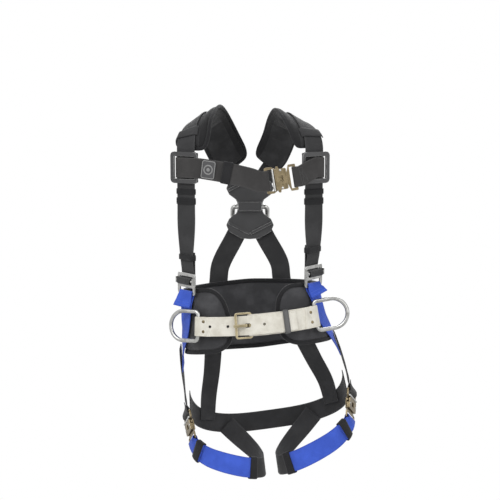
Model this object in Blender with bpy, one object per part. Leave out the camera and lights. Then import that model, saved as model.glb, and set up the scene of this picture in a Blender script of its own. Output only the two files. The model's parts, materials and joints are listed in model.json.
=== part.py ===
# Full body safety harness as it hangs on its wearer.
# +Z is up, the wearer looks along -Y and has +X on the left.
import bpy
import bmesh
from math import ceil, cos, pi, radians, sin, tan
from mathutils import Matrix, Vector

MM = 0.001

# Webbing, leather and padding
WEB_WIDTH = 45 * MM
WEB_THICK = 2.2 * MM
LAYER = 2.7 * MM
FOLD_LAYER = 3.4 * MM
BELT_WIDTH = 48 * MM
PUNCHED_WIDTH = 43 * MM
BELT_THICK = 2.8 * MM
PAD_WIDTH = 78 * MM
PAD_THICK = 13 * MM

# Stance: the hips lean up to the wearer's left and stand out to that side
LEAN_START = 0.24
LEAN_PER_METRE = 19.5
LEAN_MOST = 7.8
SHIFT_START = 0.10
SHIFT_END = -0.25
HIP_SHIFT = 0.048
NECK_START = 0.40
NECK_END = 0.48
NECK_SHIFT = -0.007

# Form inside the harness: height, half width, half depth, middle in Y
FORM = (
    (-0.36, 0.170, 0.118, 0.014),
    (-0.24, 0.175, 0.124, 0.014),
    (-0.15, 0.174, 0.124, 0.010),
    (-0.06, 0.158, 0.110, 0.002),
    (0.00, 0.148, 0.104, -0.002),
    (0.10, 0.140, 0.099, -0.003),
    (0.20, 0.148, 0.105, 0.000),
)
SQUARENESS = 2.4

# Shoulder straps
STRAP_X = 0.142
STRAP_LOW_Y = -0.079
STRAP_LOW_Z = 0.150
STRAP_RISE_Y = -0.15
CHEST_TURN = 27
WAIST_TURN = 50
SLIDER_Z = 0.349
ADJUSTER_DROP = {1: 45 * MM, -1: 54 * MM}

# Dorsal attachment
DORSAL_Y = 0.131
DORSAL_Z = 0.270
CROSS_ANGLE = 27
DORSAL_RING_REST = 42

# Waist
PAD_LIFT = 2 * MM
WAIST_PAD_THICK = 11 * MM
STRAP_LIFT = 17.6
REAR_BELT_LIFT = 23.6
BELT_LIFT = 25.5 * MM
BELT_SAG = 9 * MM
BELT_RISE = 3 * MM
BUCKLE_X = -0.022
KEEPER_X = 0.070
BELT_TIP_X = 0.092
RING_X = {1: 0.138, -1: -0.124}
RING_REST = {1: 46, -1: 5}
HOLES = (-76, -36, 44)

# Legs
THIGH_X = 0.100
THIGH_Y = 0.012
THIGH_RADIUS = 0.087
LEG_BUCKLE_ANGLE = 20
LEG_BUCKLE_Z = -0.215
LEG_BUCKLE_DIP = 62

# Chest buckle
CHEST_BUCKLE = (0.068, -0.150, 0.321)
CHEST_BUCKLE_RISE = 9
CHEST_LOW = (0.000, -0.156, 0.3225)
CHEST_HIGH = (-0.050, -0.154, 0.3340)
CHEST_TAIL_X = -0.052
BADGE_X = -0.092

for old in list(bpy.data.objects):
    bpy.data.objects.remove(old)


def material(name, colour, roughness, metallic):
    made = bpy.data.materials.new(name)
    made.use_nodes = True
    shader = made.node_tree.nodes["Principled BSDF"]
    shader.inputs["Base Color"].default_value = (*colour, 1.0)
    shader.inputs["Roughness"].default_value = roughness
    shader.inputs["Metallic"].default_value = metallic
    return made


BLACK_WEB = material("black_webbing", (0.030, 0.030, 0.032), 0.85, 0.0)
BLUE_WEB = material("blue_webbing", (0.050, 0.110, 0.560), 0.80, 0.0)
PADDING = material("pad_fabric", (0.040, 0.040, 0.044), 0.90, 0.0)
ELASTIC = material("black_elastic", (0.018, 0.018, 0.019), 0.85, 0.0)
LEATHER = material("cream_belting", (0.780, 0.740, 0.640), 0.65, 0.0)
MOULDED = material("moulded_black", (0.032, 0.032, 0.034), 0.45, 0.0)
BADGE = material("badge_grey", (0.420, 0.420, 0.410), 0.50, 0.0)
STEEL = material("bright_steel", (0.720, 0.720, 0.730), 0.22, 1.0)
GILT = material("yellow_zinc", (0.700, 0.580, 0.330), 0.30, 1.0)


# Placing

def stance(point):
    """Carries a point of the straight harness into the wearer's stance."""
    x, y, z = point
    lean = radians(min(LEAN_MOST, LEAN_PER_METRE * max(0.0, LEAN_START - z)))
    hip = min(1.0, max(0.0, (SHIFT_START - z) / (SHIFT_START - SHIFT_END)))
    neck = min(1.0, max(0.0, (z - NECK_START) / (NECK_END - NECK_START)))
    shift = HIP_SHIFT * hip * hip * (3 - 2 * hip) + NECK_SHIFT * neck * neck * (3 - 2 * neck)
    return Vector((x + shift, y, z + x * tan(lean)))


def knot(point, outward):
    """A point of a strap's middle and the way its face looks, both in the stance."""
    point = Vector(point)
    placed = stance(point)
    return placed, (stance(point + Vector(outward).normalized() * MM) - placed).normalized()


def frame_at(point, along, outward):
    """Local axes with the first along, the third outward and the second across."""
    first = along.normalized()
    third = (outward - first * outward.dot(first)).normalized()
    frame = Matrix((first, third.cross(first), third)).transposed().to_4x4()
    frame.translation = point
    return frame


def stance_frame(point, along, outward):
    placed, facing = knot(point, outward)
    return frame_at(placed, stance(Vector(point) + Vector(along) * MM) - placed, facing)


def spline(knots, step):
    """Knots on a smooth curve through the knots given, about one step apart."""
    rows = [Vector((*point, *facing)) for point, facing in knots]
    lengths = [(b[0] - a[0]).length for a, b in zip(knots, knots[1:])]
    slopes = [(rows[1] - rows[0]) / lengths[0]]
    for i in range(1, len(rows) - 1):
        slopes.append((rows[i + 1] - rows[i - 1]) / (lengths[i] + lengths[i - 1]))
    slopes.append((rows[-1] - rows[-2]) / lengths[-1])
    made = []
    for i, length in enumerate(lengths):
        count = max(1, ceil(length / step))
        for j in range(count + (i == len(lengths) - 1)):
            t = j / count
            row = rows[i] * (2 * t**3 - 3 * t**2 + 1) + slopes[i] * (length * (t**3 - 2 * t**2 + t))
            row += rows[i + 1] * (3 * t**2 - 2 * t**3) + slopes[i + 1] * (length * (t**3 - t**2))
            made.append((Vector(row[:3]), Vector(row[3:]).normalized()))
    return made


def in_frame(frame, rows):
    """Knots from rows of (along, out, facing along, facing out), the lengths in millimetres."""
    turn = frame.to_3x3()
    return [
        (frame @ Vector((along * MM, 0, out * MM)), (turn @ Vector((facing, 0, up))).normalized())
        for along, out, facing, up in rows
    ]


def bend(along, out, radius, first, last, count=6, side=1):
    """Rows round a bar, from the first to the last angle: 0 is along and 90 is outward."""
    rows = []
    for i in range(count + 1):
        angle = radians(first + (last - first) * i / count)
        row = (along + radius * cos(angle), out + radius * sin(angle), side * cos(angle), side * sin(angle))
        rows.append(row)
    return rows


def section(z):
    for low, high in zip(FORM, FORM[1:]):
        if z <= high[0] or high is FORM[-1]:
            t = (z - low[0]) / (high[0] - low[0])
            return [a + (b - a) * t for a, b in zip(low[1:], high[1:])]


def bare_form(angle, z):
    wide, deep, middle = section(z)
    s = sin(radians(angle))
    c = cos(radians(angle))
    power = 2 / SQUARENESS
    x = wide * abs(s) ** power * (1 if s > 0 else -1)
    y = deep * abs(c) ** power * (1 if c > 0 else -1)
    facing = (
        abs(s) ** (2 - power) / wide * (1 if s > 0 else -1),
        -abs(c) ** (2 - power) / deep * (1 if c > 0 else -1),
        0,
    )
    return Vector((x, middle - y, z)), Vector(facing).normalized()


def on_form(angle, z, lift):
    """A straight point and its outward direction, the angle in degrees from ahead to the left."""
    point, facing = bare_form(angle, z)
    slope = (bare_form(angle, z + 0.01)[0] - bare_form(angle, z - 0.01)[0]) / 0.02
    facing.z = -facing.dot(slope)
    facing.normalize()
    return point + facing * lift, facing


def angle_at(x, z, lift):
    """The angle on the front of the form where the lifted surface reaches x."""
    low, high = -89.0, 89.0
    for _ in range(40):
        middle = (low + high) / 2
        if on_form(middle, z, lift)[0].x < x:
            low = middle
        else:
            high = middle
    return middle


# Making

def piece(name, bm, finish, frame=None, smooth=False):
    bmesh.ops.recalc_face_normals(bm, faces=bm.faces)
    mesh = bpy.data.meshes.new(name)
    bm.to_mesh(mesh)
    bm.free()
    made = bpy.data.objects.new(name, mesh)
    bpy.context.scene.collection.objects.link(made)
    mesh.materials.append(finish)
    if smooth:
        mesh.shade_smooth()
    if frame:
        made.matrix_world = frame
    return made


def axes(knots):
    """The point, the way across and the way out at each knot of a run."""
    last = len(knots) - 1
    made = []
    for i, (point, facing) in enumerate(knots):
        along = (knots[min(i + 1, last)][0] - knots[max(i - 1, 0)][0]).normalized()
        facing = (facing - along * facing.dot(along)).normalized()
        made.append((point, along.cross(facing), facing))
    return made


def split_quad(bm, a, b, c, d):
    """Two triangles for a twisted quad, parted along the diagonal that stands further out from the wearer."""
    if (a.co + c.co).xy.length > (b.co + d.co).xy.length:
        bm.faces.new((a, b, c))
        bm.faces.new((a, c, d))
    else:
        bm.faces.new((a, b, d))
        bm.faces.new((b, c, d))


def sweep(knots, rings):
    """A closed body from one ring of (across, out) points at each knot."""
    bm = bmesh.new()
    loops = []
    for (point, across, facing), ring in zip(axes(knots), rings):
        loops.append([bm.verts.new(point + across * a + facing * b) for a, b in ring])
    for near, far in zip(loops, loops[1:]):
        for i in range(len(near)):
            j = (i + 1) % len(near)
            split_quad(bm, near[i], near[j], far[j], far[i])
    ends = [bm.faces.new(loops[0]), bm.faces.new(loops[-1])]
    bmesh.ops.triangulate(bm, faces=ends)
    return bm


def ribbon(name, knots, width, thick, finish):
    w = width / 2
    t = thick / 2
    ring = [(-w, -t), (w, -t), (w, t), (-w, t)]
    return piece(name, sweep(knots, [ring] * len(knots)), finish)


def sleeve(name, rows, inside, depth, wall, finish):
    """A flat closed loop round what runs through the rows of axes."""
    bm = bmesh.new()
    loops = []
    for point, across, facing in rows:
        loop = []
        for grow in (0, wall):
            w = inside / 2 + grow
            t = depth / 2 + grow
            for a, b in ((-w, -t), (w, -t), (w, t), (-w, t)):
                loop.append(bm.verts.new(point + across * a + facing * b))
        loops.append(loop)
    for near, far in zip(loops, loops[1:]):
        for first in (0, 4):
            for i in range(4):
                j = (i + 1) % 4
                bm.faces.new((near[first + i], near[first + j], far[first + j], far[first + i]))
    for loop in (loops[0], loops[-1]):
        for i in range(4):
            j = (i + 1) % 4
            bm.faces.new((loop[i], loop[j], loop[4 + j], loop[4 + i]))
    bmesh.ops.triangulate(bm, faces=bm.faces)
    return piece(name, bm, finish)


def pad_ring(width, thick, crown):
    """Section of a pad: flat under the strap, rounded edges and a fuller back."""
    w = width / 2
    t = thick / 2
    return [
        (-w, -0.25 * t), (-0.92 * w, -0.8 * t), (-0.6 * w, -t - crown), (0, -t - crown),
        (0.6 * w, -t - crown), (0.92 * w, -0.8 * t), (w, -0.25 * t), (w, 0.3 * t), (0.9 * w, 0.85 * t),
        (0.62 * w, t), (-0.62 * w, t), (-0.9 * w, 0.85 * t), (-w, 0.3 * t),
    ]


def prism(outline, low, high):
    """An upright body on an outline, the lengths in millimetres."""
    bm = bmesh.new()
    base = [bm.verts.new((x * MM, y * MM, low * MM)) for x, y in outline]
    top = [bm.verts.new((x * MM, y * MM, high * MM)) for x, y in outline]
    bm.faces.new(base)
    bm.faces.new(top)
    for i in range(len(base)):
        j = (i + 1) % len(base)
        bm.faces.new((base[i], base[j], top[j], top[i]))
    return bm


def box(x0, x1, y0, y1, z0, z1):
    return prism([(x0, y0), (x1, y0), (x1, y1), (x0, y1)], z0, z1)


def rounded(corners, radius, count=3):
    """An outline with each corner of the polygon rounded."""
    made = []
    for i, corner in enumerate(corners):
        corner = Vector(corner)
        before = (Vector(corners[i - 1]) - corner).normalized()
        after = (Vector(corners[(i + 1) % len(corners)]) - corner).normalized()
        half = before.angle(after) / 2
        centre = corner + (before + after).normalized() * (radius / sin(half))
        start = corner + before * (radius / tan(half)) - centre
        end = corner + after * (radius / tan(half)) - centre
        turn = start.angle_signed(end)
        for j in range(count + 1):
            spoke = start.copy()
            spoke.rotate(Matrix.Rotation(-turn * j / count, 2))
            made.append(tuple(centre + spoke))
    return made


def rect(x0, x1, y0, y1, radius=0, count=3):
    corners = [(x0, y0), (x1, y0), (x1, y1), (x0, y1)]
    return rounded(corners, radius, count) if radius else corners


def disc(x, y, radius, sides):
    turns = [2 * pi * i / sides for i in range(sides)]
    return [(x + radius * cos(turn), y + radius * sin(turn)) for turn in turns]


def combine(target, bm, operation="DIFFERENCE"):
    """Cuts a body out of the target, or joins it on."""
    tool = piece("tool", bm, target.data.materials[0])
    change = target.modifiers.new("combine", "BOOLEAN")
    change.operation = operation
    change.solver = "EXACT"
    change.object = tool
    graph = bpy.context.evaluated_depsgraph_get()
    mesh = bpy.data.meshes.new_from_object(target.evaluated_get(graph))
    target.modifiers.clear()
    target.data = mesh
    bpy.data.objects.remove(tool)


def clean(target, frame):
    """Joins flat faces that lie in one plane, and sets the finished body in its place."""
    bm = bmesh.new()
    bm.from_mesh(target.data)
    bmesh.ops.remove_doubles(bm, verts=bm.verts, dist=0.002 * MM)
    bmesh.ops.dissolve_limit(bm, angle_limit=radians(0.3), verts=bm.verts, edges=bm.edges)
    bmesh.ops.triangulate(bm, faces=bm.faces)
    bmesh.ops.recalc_face_normals(bm, faces=bm.faces)
    bm.to_mesh(target.data)
    bm.free()
    target.matrix_world = frame


def tube(points, radius, sides, finish, name, frame, closed):
    """Round stock along flat points (x, y) in millimetres, flats looking out of that plane."""
    bm = bmesh.new()
    count = len(points)
    r = radius / cos(pi / sides)
    loops = []
    for i, here in enumerate(points):
        here = Vector(here)
        before = Vector(points[i - 1]) if closed or i else here
        after = Vector(points[(i + 1) % count]) if closed or i < count - 1 else here
        way = (after - before).normalized()
        side = Vector((way.y, -way.x))
        loop = []
        for j in range(sides):
            angle = 2 * pi * (j + 0.5) / sides
            spot = here + side * (r * cos(angle))
            loop.append(bm.verts.new((spot.x * MM, spot.y * MM, r * sin(angle) * MM)))
        loops.append(loop)
    pairs = list(zip(loops, loops[1:])) + ([(loops[-1], loops[0])] if closed else [])
    for near, far in pairs:
        for j in range(sides):
            k = (j + 1) % sides
            bm.faces.new((near[j], near[k], far[k], far[j]))
    if not closed:
        bm.faces.new(loops[0])
        bm.faces.new(loops[-1])
    return piece(name, bm, finish, frame, True)


def d_ring(name, frame, height, depth, radius, finish):
    """A forged D-ring: its straight bar lies on the second axis, its bow reaches along the first."""
    half = height / 2
    corner = 9
    points = [(0, -half + corner), (0, 0), (0, half - corner)]
    for i in range(1, 4):
        angle = pi - i * pi / 6
        points.append((corner + corner * cos(angle), half - corner + corner * sin(angle)))
    for i in range(13):
        angle = pi / 2 - i * pi / 12
        points.append((depth - half + half * cos(angle), half * sin(angle)))
    for i in range(3):
        angle = -pi / 2 - i * pi / 6
        points.append((corner + corner * cos(angle), -half + corner + corner * sin(angle)))
    return tube(points, radius, 8, finish, name, frame, True)


# Quick-connect buckle: housing with web bar, tab with web bar, two rocking levers

def quick_buckle(prefix, frame):
    housing = piece(prefix + "_housing", prism(rounded([
        (-35, -29), (-19, -29), (-8, -22), (-8, 22), (-19, 29), (-35, 29)], 4), -2, 2), GILT)
    combine(housing, prism(rect(-29, -17, -23.6, 23.6, 2), -4, 4))
    block = rounded([(-14, -23), (13, -23), (13, 23), (-14, 23)], 3)
    combine(housing, prism(block, -5.5, 5.5), "UNION")
    combine(housing, box(-11.5, 15, -14.6, 14.6, -1.9, 1.9))
    combine(housing, prism(rounded([(-7, -5), (4, -8), (4, 8), (-7, 5)], 2), 1, 7))
    for side in (1, -1):
        low, high = sorted((side * 15.6, side * 25))
        combine(housing, box(-11.2, 11.2, low, high, -2.7, 2.7))
        low, high = sorted((side * 13, side * 17))
        combine(housing, box(4.6, 10.2, low, high, -2.5, 2.5))
        combine(housing, prism(disc(0, side * 19.4, 1.6, 10), -3.5, 3.5), "UNION")
    clean(housing, frame)
    outline = [(-10.5, -9), (-5, -13.8), (14, -13.8), (19, -29), (35, -29), (35, 29), (19, 29), (14, 13.8),
               (-5, 13.8), (-10.5, 9)]
    tab = piece(prefix + "_tab", prism(rounded(outline, 1.6, 2), -1.5, 1.5), GILT)
    combine(tab, prism(rect(20.5, 29, -23.6, 23.6, 2), -4, 4))
    combine(tab, prism(disc(-1, 0, 4, 12), -4, 4))
    clean(tab, frame)
    for side, word in ((1, "upper"), (-1, "lower")):
        arm = [(-10, -2), (3, -2), (5.6, -2), (6, -4), (8.6, -4), (9, -2), (10, -2), (10, 2), (-1.5, 2),
               (-3, 5), (-4, 9.4), (-7.5, 9.4), (-10, 6)]
        if side < 0:
            arm = [(x, -y) for x, y in reversed(arm)]
        lever = piece(f"{prefix}_{word}_lever", prism(arm, -2.2, 2.2), GILT)
        combine(lever, prism(disc(0, 0, 1.95, 10), -4, 4))
        clean(lever, frame @ Matrix.Translation((0, side * 19.4 * MM, 0)))


def folded(path, frame, bar, radius, last, tail):
    """Knots of a strap folded round a bar: its tail lies outside the path, its run inside."""
    reach = 0.0
    outer = []
    inner = []
    for i, (point, facing) in enumerate(path):
        if i:
            reach += (point - path[i - 1][0]).length
        near = max(0.0, 1 - reach / (22 * MM))
        part = FOLD_LAYER / 2 + (radius * MM - FOLD_LAYER / 2) * near * near * (3 - 2 * near)
        outer.append((point + facing * part, facing))
        inner.append((point - facing * part, -facing))
    return outer[tail:0:-1] + in_frame(frame, bend(bar, 0, radius, 90, last)) + inner[1:]


# Shoulder yoke: strap, pad and band on each side, adjuster, slider

def strap_turned(turn, side):
    return (side * sin(radians(turn)), -cos(radians(turn)), 0)


def front_point(side, z):
    return (side * STRAP_X, STRAP_LOW_Y + STRAP_RISE_Y * (z - STRAP_LOW_Z), z)


FRAMES = {}
for side, word in ((1, "left"), (-1, "right")):
    low = knot(front_point(side, STRAP_LOW_Z), strap_turned(WAIST_TURN, side))
    above = knot(front_point(side, STRAP_LOW_Z + 0.01), strap_turned(WAIST_TURN, side))
    upward = above[0] - low[0]
    adjuster = frame_at(low[0], upward, low[1])
    adjuster = adjuster @ Matrix.Translation((-ADJUSTER_DROP[side], 0, 0))
    FRAMES[word + "_adjuster"] = adjuster
    wrap = [(70, -6.7, 0, -1), (40, -6.7, 0, -1), (8, -6.6, 0, -1), (3.6, -4.6, -0.6, -0.8)]
    wrap += [(1.3, -1, -1, -0.1), (0.5, 2, -1, -0.1)]
    wrap += bend(3.2, 6, 5.2, 195, 90, 5) + bend(6, 6, 5.2, 90, 0, 5)
    wrap += [(11.7, 3, 1, 0), (12.1, 0, 1, 0.05), (12.8, -1.9, 0.9, 0.4), (14.6, -3.6, 0.4, 0.9)]
    wrap += [(18.5, -3.9, 0, 1), (27, -3.6, 0, 1)]
    chest = strap_turned(CHEST_TURN, side)
    dx = sin(radians(CROSS_ANGLE))
    dz = cos(radians(CROSS_ANGLE))
    layer = DORSAL_Y + (1.7 if side > 0 else 4.5) * MM
    route = [low]
    route += [knot(front_point(side, z), chest) for z in (0.224, 0.262, 0.349, 0.378, 0.394)]
    for x, y, z, nx, ny, nz in (
        (0.1395, -0.1105, 0.416, 0.47, -0.78, 0.42),
        (0.1310, -0.0890, 0.441, 0.52, -0.52, 0.68),
        (0.1190, -0.0470, 0.462, 0.56, -0.22, 0.80),
        (0.1080, 0.0050, 0.470, 0.57, 0.06, 0.82),
        (0.0980, 0.0530, 0.458, 0.48, 0.46, 0.74),
        (0.0840, 0.0930, 0.424, 0.32, 0.84, 0.42),
        (0.0640, 0.1190, 0.383, 0.14, 0.97, 0.20),
    ):
        route.append(knot((side * x, y, z), (side * nx, ny, nz)))
    for distance in (0.086, 0.045, 0.0, -0.045, -0.086):
        route.append(knot((side * dx * distance, layer, DORSAL_Z + dz * distance), (0, 1, 0)))
    for angle, z, lift in ((203, 0.135, 18.5), (206, 0.09, 16.2), (209, 0.045, 16.2), (212, 0.0, 16.2),
                           (215, -0.05, 16.2), (220, -0.11, 12), (227, -0.165, 8), (232, -0.218, 5.6)):
        point, facing = on_form(180 + (angle - 180) * side, z, lift * MM)
        route.append(knot(point, facing))
    run = spline(route, 14 * MM)
    ribbon(word + "_shoulder_strap", in_frame(adjuster, wrap) + run, WEB_WIDTH, WEB_THICK, BLACK_WEB)

    over = [k for k in run if k[0].z > (0.393 if k[0].y < 0 else 0.362)]
    first = run.index(over[0])
    pad = []
    rings = []
    for i, (point, facing) in enumerate(over):
        along = (run[first + i + 1][0] - run[first + i - 1][0]).normalized()
        facing = (facing - along * facing.dot(along)).normalized()
        neck = along.cross(facing) * -side
        share = i / (len(over) - 1)
        shift = 9 * MM * (1 - share) + 16 * MM * share
        pad.append((point + neck * shift - facing * (PAD_THICK / 2 + WEB_THICK / 2 + 1.7 * MM), facing))
        edge = min(share, 1 - share) * (len(over) - 1)
        taper = (0.78, 0.93, 1.0)[min(2, int(edge))]
        rings.append(pad_ring(PAD_WIDTH * taper, PAD_THICK, 1.5 * MM * taper))
    piece(word + "_shoulder_pad", sweep(pad, rings), PADDING)

    band = [k for k in run if 0.408 < k[0].z < 0.438 and k[0].y < 0]
    w = WEB_WIDTH / 2
    t = WEB_THICK / 2
    arch = [(w + 4.4 * MM, -t), (w + 2.4 * MM, t + 3 * MM), (w + 1.2 * MM, t + 1.4 * MM), (w + 1.4 * MM, -t)]
    bridge = [(-arch[i][0], arch[i][1]) for i in (0, 3, 2)] + [arch[i] for i in (2, 3, 0, 1)]
    bridge.append((-arch[1][0], arch[1][1]))
    piece(word + "_pad_band", sweep(band, [bridge] * len(band)), BLACK_WEB)

    turned = stance_frame(front_point(side, SLIDER_Z), Vector((0, STRAP_RISE_Y, 1)), Vector(chest))
    FRAMES[word + "_slider"] = turned
    c = side
    slider = piece(word + "_chest_slider", prism(rounded(
        [(-35, -36), (35, -36), (35, 32), (-35, 32)] if c > 0 else
        [(-35, -32), (35, -32), (35, 36), (-35, 36)], 9, 4), 1.5, 7.5), MOULDED)
    for low_c, high_c in ((-27, -19.5), (-16.5, 26)):
        a, b = sorted((c * low_c, c * high_c))
        combine(slider, prism(rect(-25, 25, a, b, 2.5), -1, 9))
    combine(slider, box(-40, 40, -21 if c > 0 else 16, -16 if c > 0 else 21, 7.0, 9))
    combine(slider, box(-24.5, 24.5, -21 if c > 0 else 16, -16 if c > 0 else 21, 0, 5.0))
    for a, b in ((25.5, 33), (-33, -25.5)):
        combine(slider, prism(rect(a, b, -29, 29, 2), -4.5, 4), "UNION")
    combine(slider, box(-40, 40, -23.5, 23.5, -1.5, 1.45))
    clean(slider, turned)

    for name, z0, z1 in (("_upper_keeper", 0.290, 0.302), ("_mid_keeper", 0.268, 0.282)):
        spots = [knot(front_point(side, z0 + (z1 - z0) * i / 2), chest) for i in range(3)]
        sleeve(word + name, axes(spots), WEB_WIDTH + 1.2 * MM, WEB_THICK + 1 * MM, 1.4 * MM, ELASTIC)
    spots = in_frame(adjuster, [(52 + 4 * i, -2.4, 0, 1) for i in range(4)])
    sleeve(word + "_tail_keeper", axes(spots), WEB_WIDTH + 1.2 * MM, 12.5 * MM, 1.4 * MM, ELASTIC)

    outline = rounded([(-26, -31), (23, -31), (23, 31), (-26, 31)], 5)
    plate = piece(word + "_adjuster_frame", prism(outline, -2, 2), STEEL)
    combine(plate, prism(rect(-3, 15, -23.8, 23.8, 2), -4, 4))
    combine(plate, prism(rect(-20, -10, -23.8, 23.8, 2), -4, 4))
    for end in (1, -1):
        lug = rect(-1, 13, *sorted((end * 28.4, end * 31)), 0.8, 2)
        combine(plate, prism(lug, 0, 8), "UNION")
    clean(plate, adjuster)
    bar_frame = adjuster @ Matrix.Translation((6 * MM, 0, 6 * MM))
    tube([(0, -28), (0, -24), (0, 24), (0, 28)], 3.5, 10, STEEL, word + "_adjuster_bar", bar_frame, False)

# Dorsal plate and D-ring

dorsal = frame_at(Vector((0, DORSAL_Y, DORSAL_Z)), Vector((0, 0, 1)), Vector((0, 1, 0)))
half = [(0, 30), (15, 31), (29, 50), (44, 57), (60, 50), (76, 22), (78, 0)]
outline = half + [(x, -y) for x, y in half[-2::-1]] + [(-x, -y) for x, y in half[1:]]
outline += [(-x, y) for x, y in half[-2:0:-1]]
plate = piece("dorsal_plate", prism(rounded(outline, 4, 2), -3.5, 0.5), MOULDED)
combine(plate, prism(rect(-11, 11, -28, 28, 2), -15, 0), "UNION")
for side in (1, -1):
    top = 3.3 if side > 0 else 6.1
    arch = [(-28.5, -1.5), (-23.6, -1.5), (-23.6, top), (23.6, top), (23.6, -1.5), (28.5, -1.5)]
    arch += [(28.5, top + 3), (-28.5, top + 3)]
    for end in (1, -1):
        way = Vector((cos(radians(CROSS_ANGLE)), side * sin(radians(CROSS_ANGLE)), 0)) * end
        bridge = prism(arch, -3.5, 3.5)
        bridge.transform(frame_at(way * 58 * MM, Vector((-way.y, way.x, 0)), -way))
        combine(plate, bridge, "UNION")
combine(plate, box(-6.2, 6.2, -70, 70, -12, 3))
clean(plate, dorsal)
rest = radians(DORSAL_RING_REST)
ring_frame = frame_at(Vector((0, DORSAL_Y - 5.6 * MM, DORSAL_Z)), Vector((0, sin(rest), -cos(rest))),
                      Vector((0, cos(rest), sin(rest))))
d_ring("dorsal_d_ring", ring_frame, 83, 68, 5.2, STEEL)

# Waist pad, rear belt, belt halves, buckle, tongue, keeper and hip D-rings

columns = 40
spots = []
for i in range(columns + 1):
    angle = 18 + (342 - 18) * i / columns
    side = min(1.0, min(angle - 18, 342 - angle) / 18)
    back = max(0.0, (min(angle, 360 - angle) - 100) / 80)
    corner = (1 - (1 - side) ** 2) ** 0.5
    top = 0.014 + 0.064 * corner + 0.012 * back
    bottom = -0.020 - 0.028 * corner - 0.012 * back
    spots.append((angle, bottom, top, side))
bm = bmesh.new()
loops = []
for angle, bottom, top, side in spots:
    swell = WAIST_PAD_THICK * (0.55 + 0.45 * min(1.0, side * 4))
    ring = []
    for share, lift in ((0, 0.3), (0, 0.7), (0.06, 0.95), (0.3, 1), (0.7, 1), (0.94, 0.95),
                        (1, 0.7), (1, 0.3), (0.94, 0.05), (0.7, 0), (0.3, 0), (0.06, 0.05)):
        z = bottom + (top - bottom) * share
        point, _ = on_form(angle, z, PAD_LIFT + swell * lift)
        ring.append(bm.verts.new(stance(point)))
    loops.append(ring)
for near, far in zip(loops, loops[1:]):
    for i in range(len(near)):
        j = (i + 1) % len(near)
        bm.faces.new((near[i], near[j], far[j], far[i]))
bm.faces.new(loops[0])
bm.faces.new(loops[-1])
bmesh.ops.triangulate(bm, faces=bm.faces)
piece("waist_pad", bm, PADDING)

rear = []
for i in range(25):
    angle = 108 + 144 * i / 24
    near_end = min(1.0, min(i, 24 - i) / 4)
    point, facing = on_form(angle, 0.008, (STRAP_LIFT + (REAR_BELT_LIFT - STRAP_LIFT) * near_end) * MM)
    rear.append(knot(point, facing))
ribbon("rear_belt", rear, WEB_WIDTH, WEB_THICK, BLACK_WEB)


def belt_z(angle):
    return BELT_SAG * (sin(radians(angle)) ** 2 - 0.3) + BELT_RISE


def belt_knot(angle, lift):
    point, facing = on_form(angle, belt_z(angle), lift)
    return knot(point, facing)


def belt_run(first, last, lifts):
    """Knots along the belt, lifted by a table of (distance from the buckle, lift), in millimetres."""
    middle = angle_at(BUCKLE_X, 0, BELT_LIFT)
    count = 44
    made = []
    for i in range(count + 1):
        angle = first + (last - first) * i / count
        steps = 12
        path = [belt_knot(middle + (angle - middle) * j / steps, BELT_LIFT)[0] for j in range(steps + 1)]
        along = sum((b - a).length for a, b in zip(path, path[1:])) / MM * (1 if angle > middle else -1)
        lift = lifts[0][1]
        for (u0, l0), (u1, l1) in zip(lifts, lifts[1:]):
            if along > u0:
                t = min(1.0, (along - u0) / (u1 - u0))
                lift = l0 + (l1 - l0) * t * t * (3 - 2 * t)
        made.append(belt_knot(angle, BELT_LIFT + lift * MM))
    return made


def belt_spot(distance):
    """Axes on the belt at a distance in millimetres from the buckle."""
    angle = angle_at(BUCKLE_X, 0, BELT_LIFT)
    step = 0.1 if distance > 0 else -0.1
    here = belt_knot(angle, BELT_LIFT)
    walk = 0.0
    while walk < abs(distance) * MM:
        angle += step
        after = belt_knot(angle, BELT_LIFT)
        walk += (after[0] - here[0]).length
        here = after
    return frame_at(here[0], belt_knot(angle + 0.5, BELT_LIFT)[0] - here[0], here[1])


buckle_angle = angle_at(BUCKLE_X, 0, BELT_LIFT)
buckle_spot = belt_knot(buckle_angle, BELT_LIFT)
ahead = belt_knot(buckle_angle + 2, BELT_LIFT)[0]
buckle = frame_at(buckle_spot[0], ahead - buckle_spot[0], buckle_spot[1])
for side, word in ((1, "left"), (-1, "right")):
    angle = angle_at(RING_X[side], 0, BELT_LIFT)
    spot = belt_knot(angle, BELT_LIFT)
    ahead = belt_knot(angle + side * 1.5, BELT_LIFT)[0]
    holder = frame_at(spot[0], ahead - spot[0], spot[1])
    FRAMES[word + "_ring_holder"] = holder
    ring_frame = holder @ Matrix.Rotation(radians(-RING_REST[side]), 4, "Y")
    d_ring(word + "_hip_d_ring", ring_frame, 66, 72, 4.2, STEEL)

fold = [(-30, 1.8, 0, 1), (-20, 3.2, -0.12, 1), (-10, 5.9, -0.2, 1), (-4, 6.4, 0, 1)]
fold += bend(0, 0, 6.4, 75, -75)
fold += [(-4, -6.2, 0, -1), (-11, -5.2, -0.2, -1), (-19, -2.4, -0.2, -1), (-27, -1.6, 0, -1)]
angle_right = angle_at(RING_X[-1] + 0.031, 0, BELT_LIFT)
angle_tip = angle_at(BELT_TIP_X, 0, BELT_LIFT)
run = belt_run(angle_right, angle_tip, [(-60, 1.8), (-30, 0.0), (-15, 0.0), (12, 10), (32, 8.6), (62, 5.8)])
tongue_half = ribbon("belt_tongue_half", in_frame(FRAMES["right_ring_holder"], fold)[::-1] + run,
                     PUNCHED_WIDTH, BELT_THICK, LEATHER)
for distance in HOLES:
    punch = prism(disc(0, 0, 3.2, 12), -3, 16)
    punch.transform(belt_spot(distance))
    combine(tongue_half, punch)
slot = prism(rect(1, 15.5, -4.6, 4.6, 4, 3), 0.5, 18)
slot.transform(buckle)
combine(tongue_half, slot)

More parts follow.
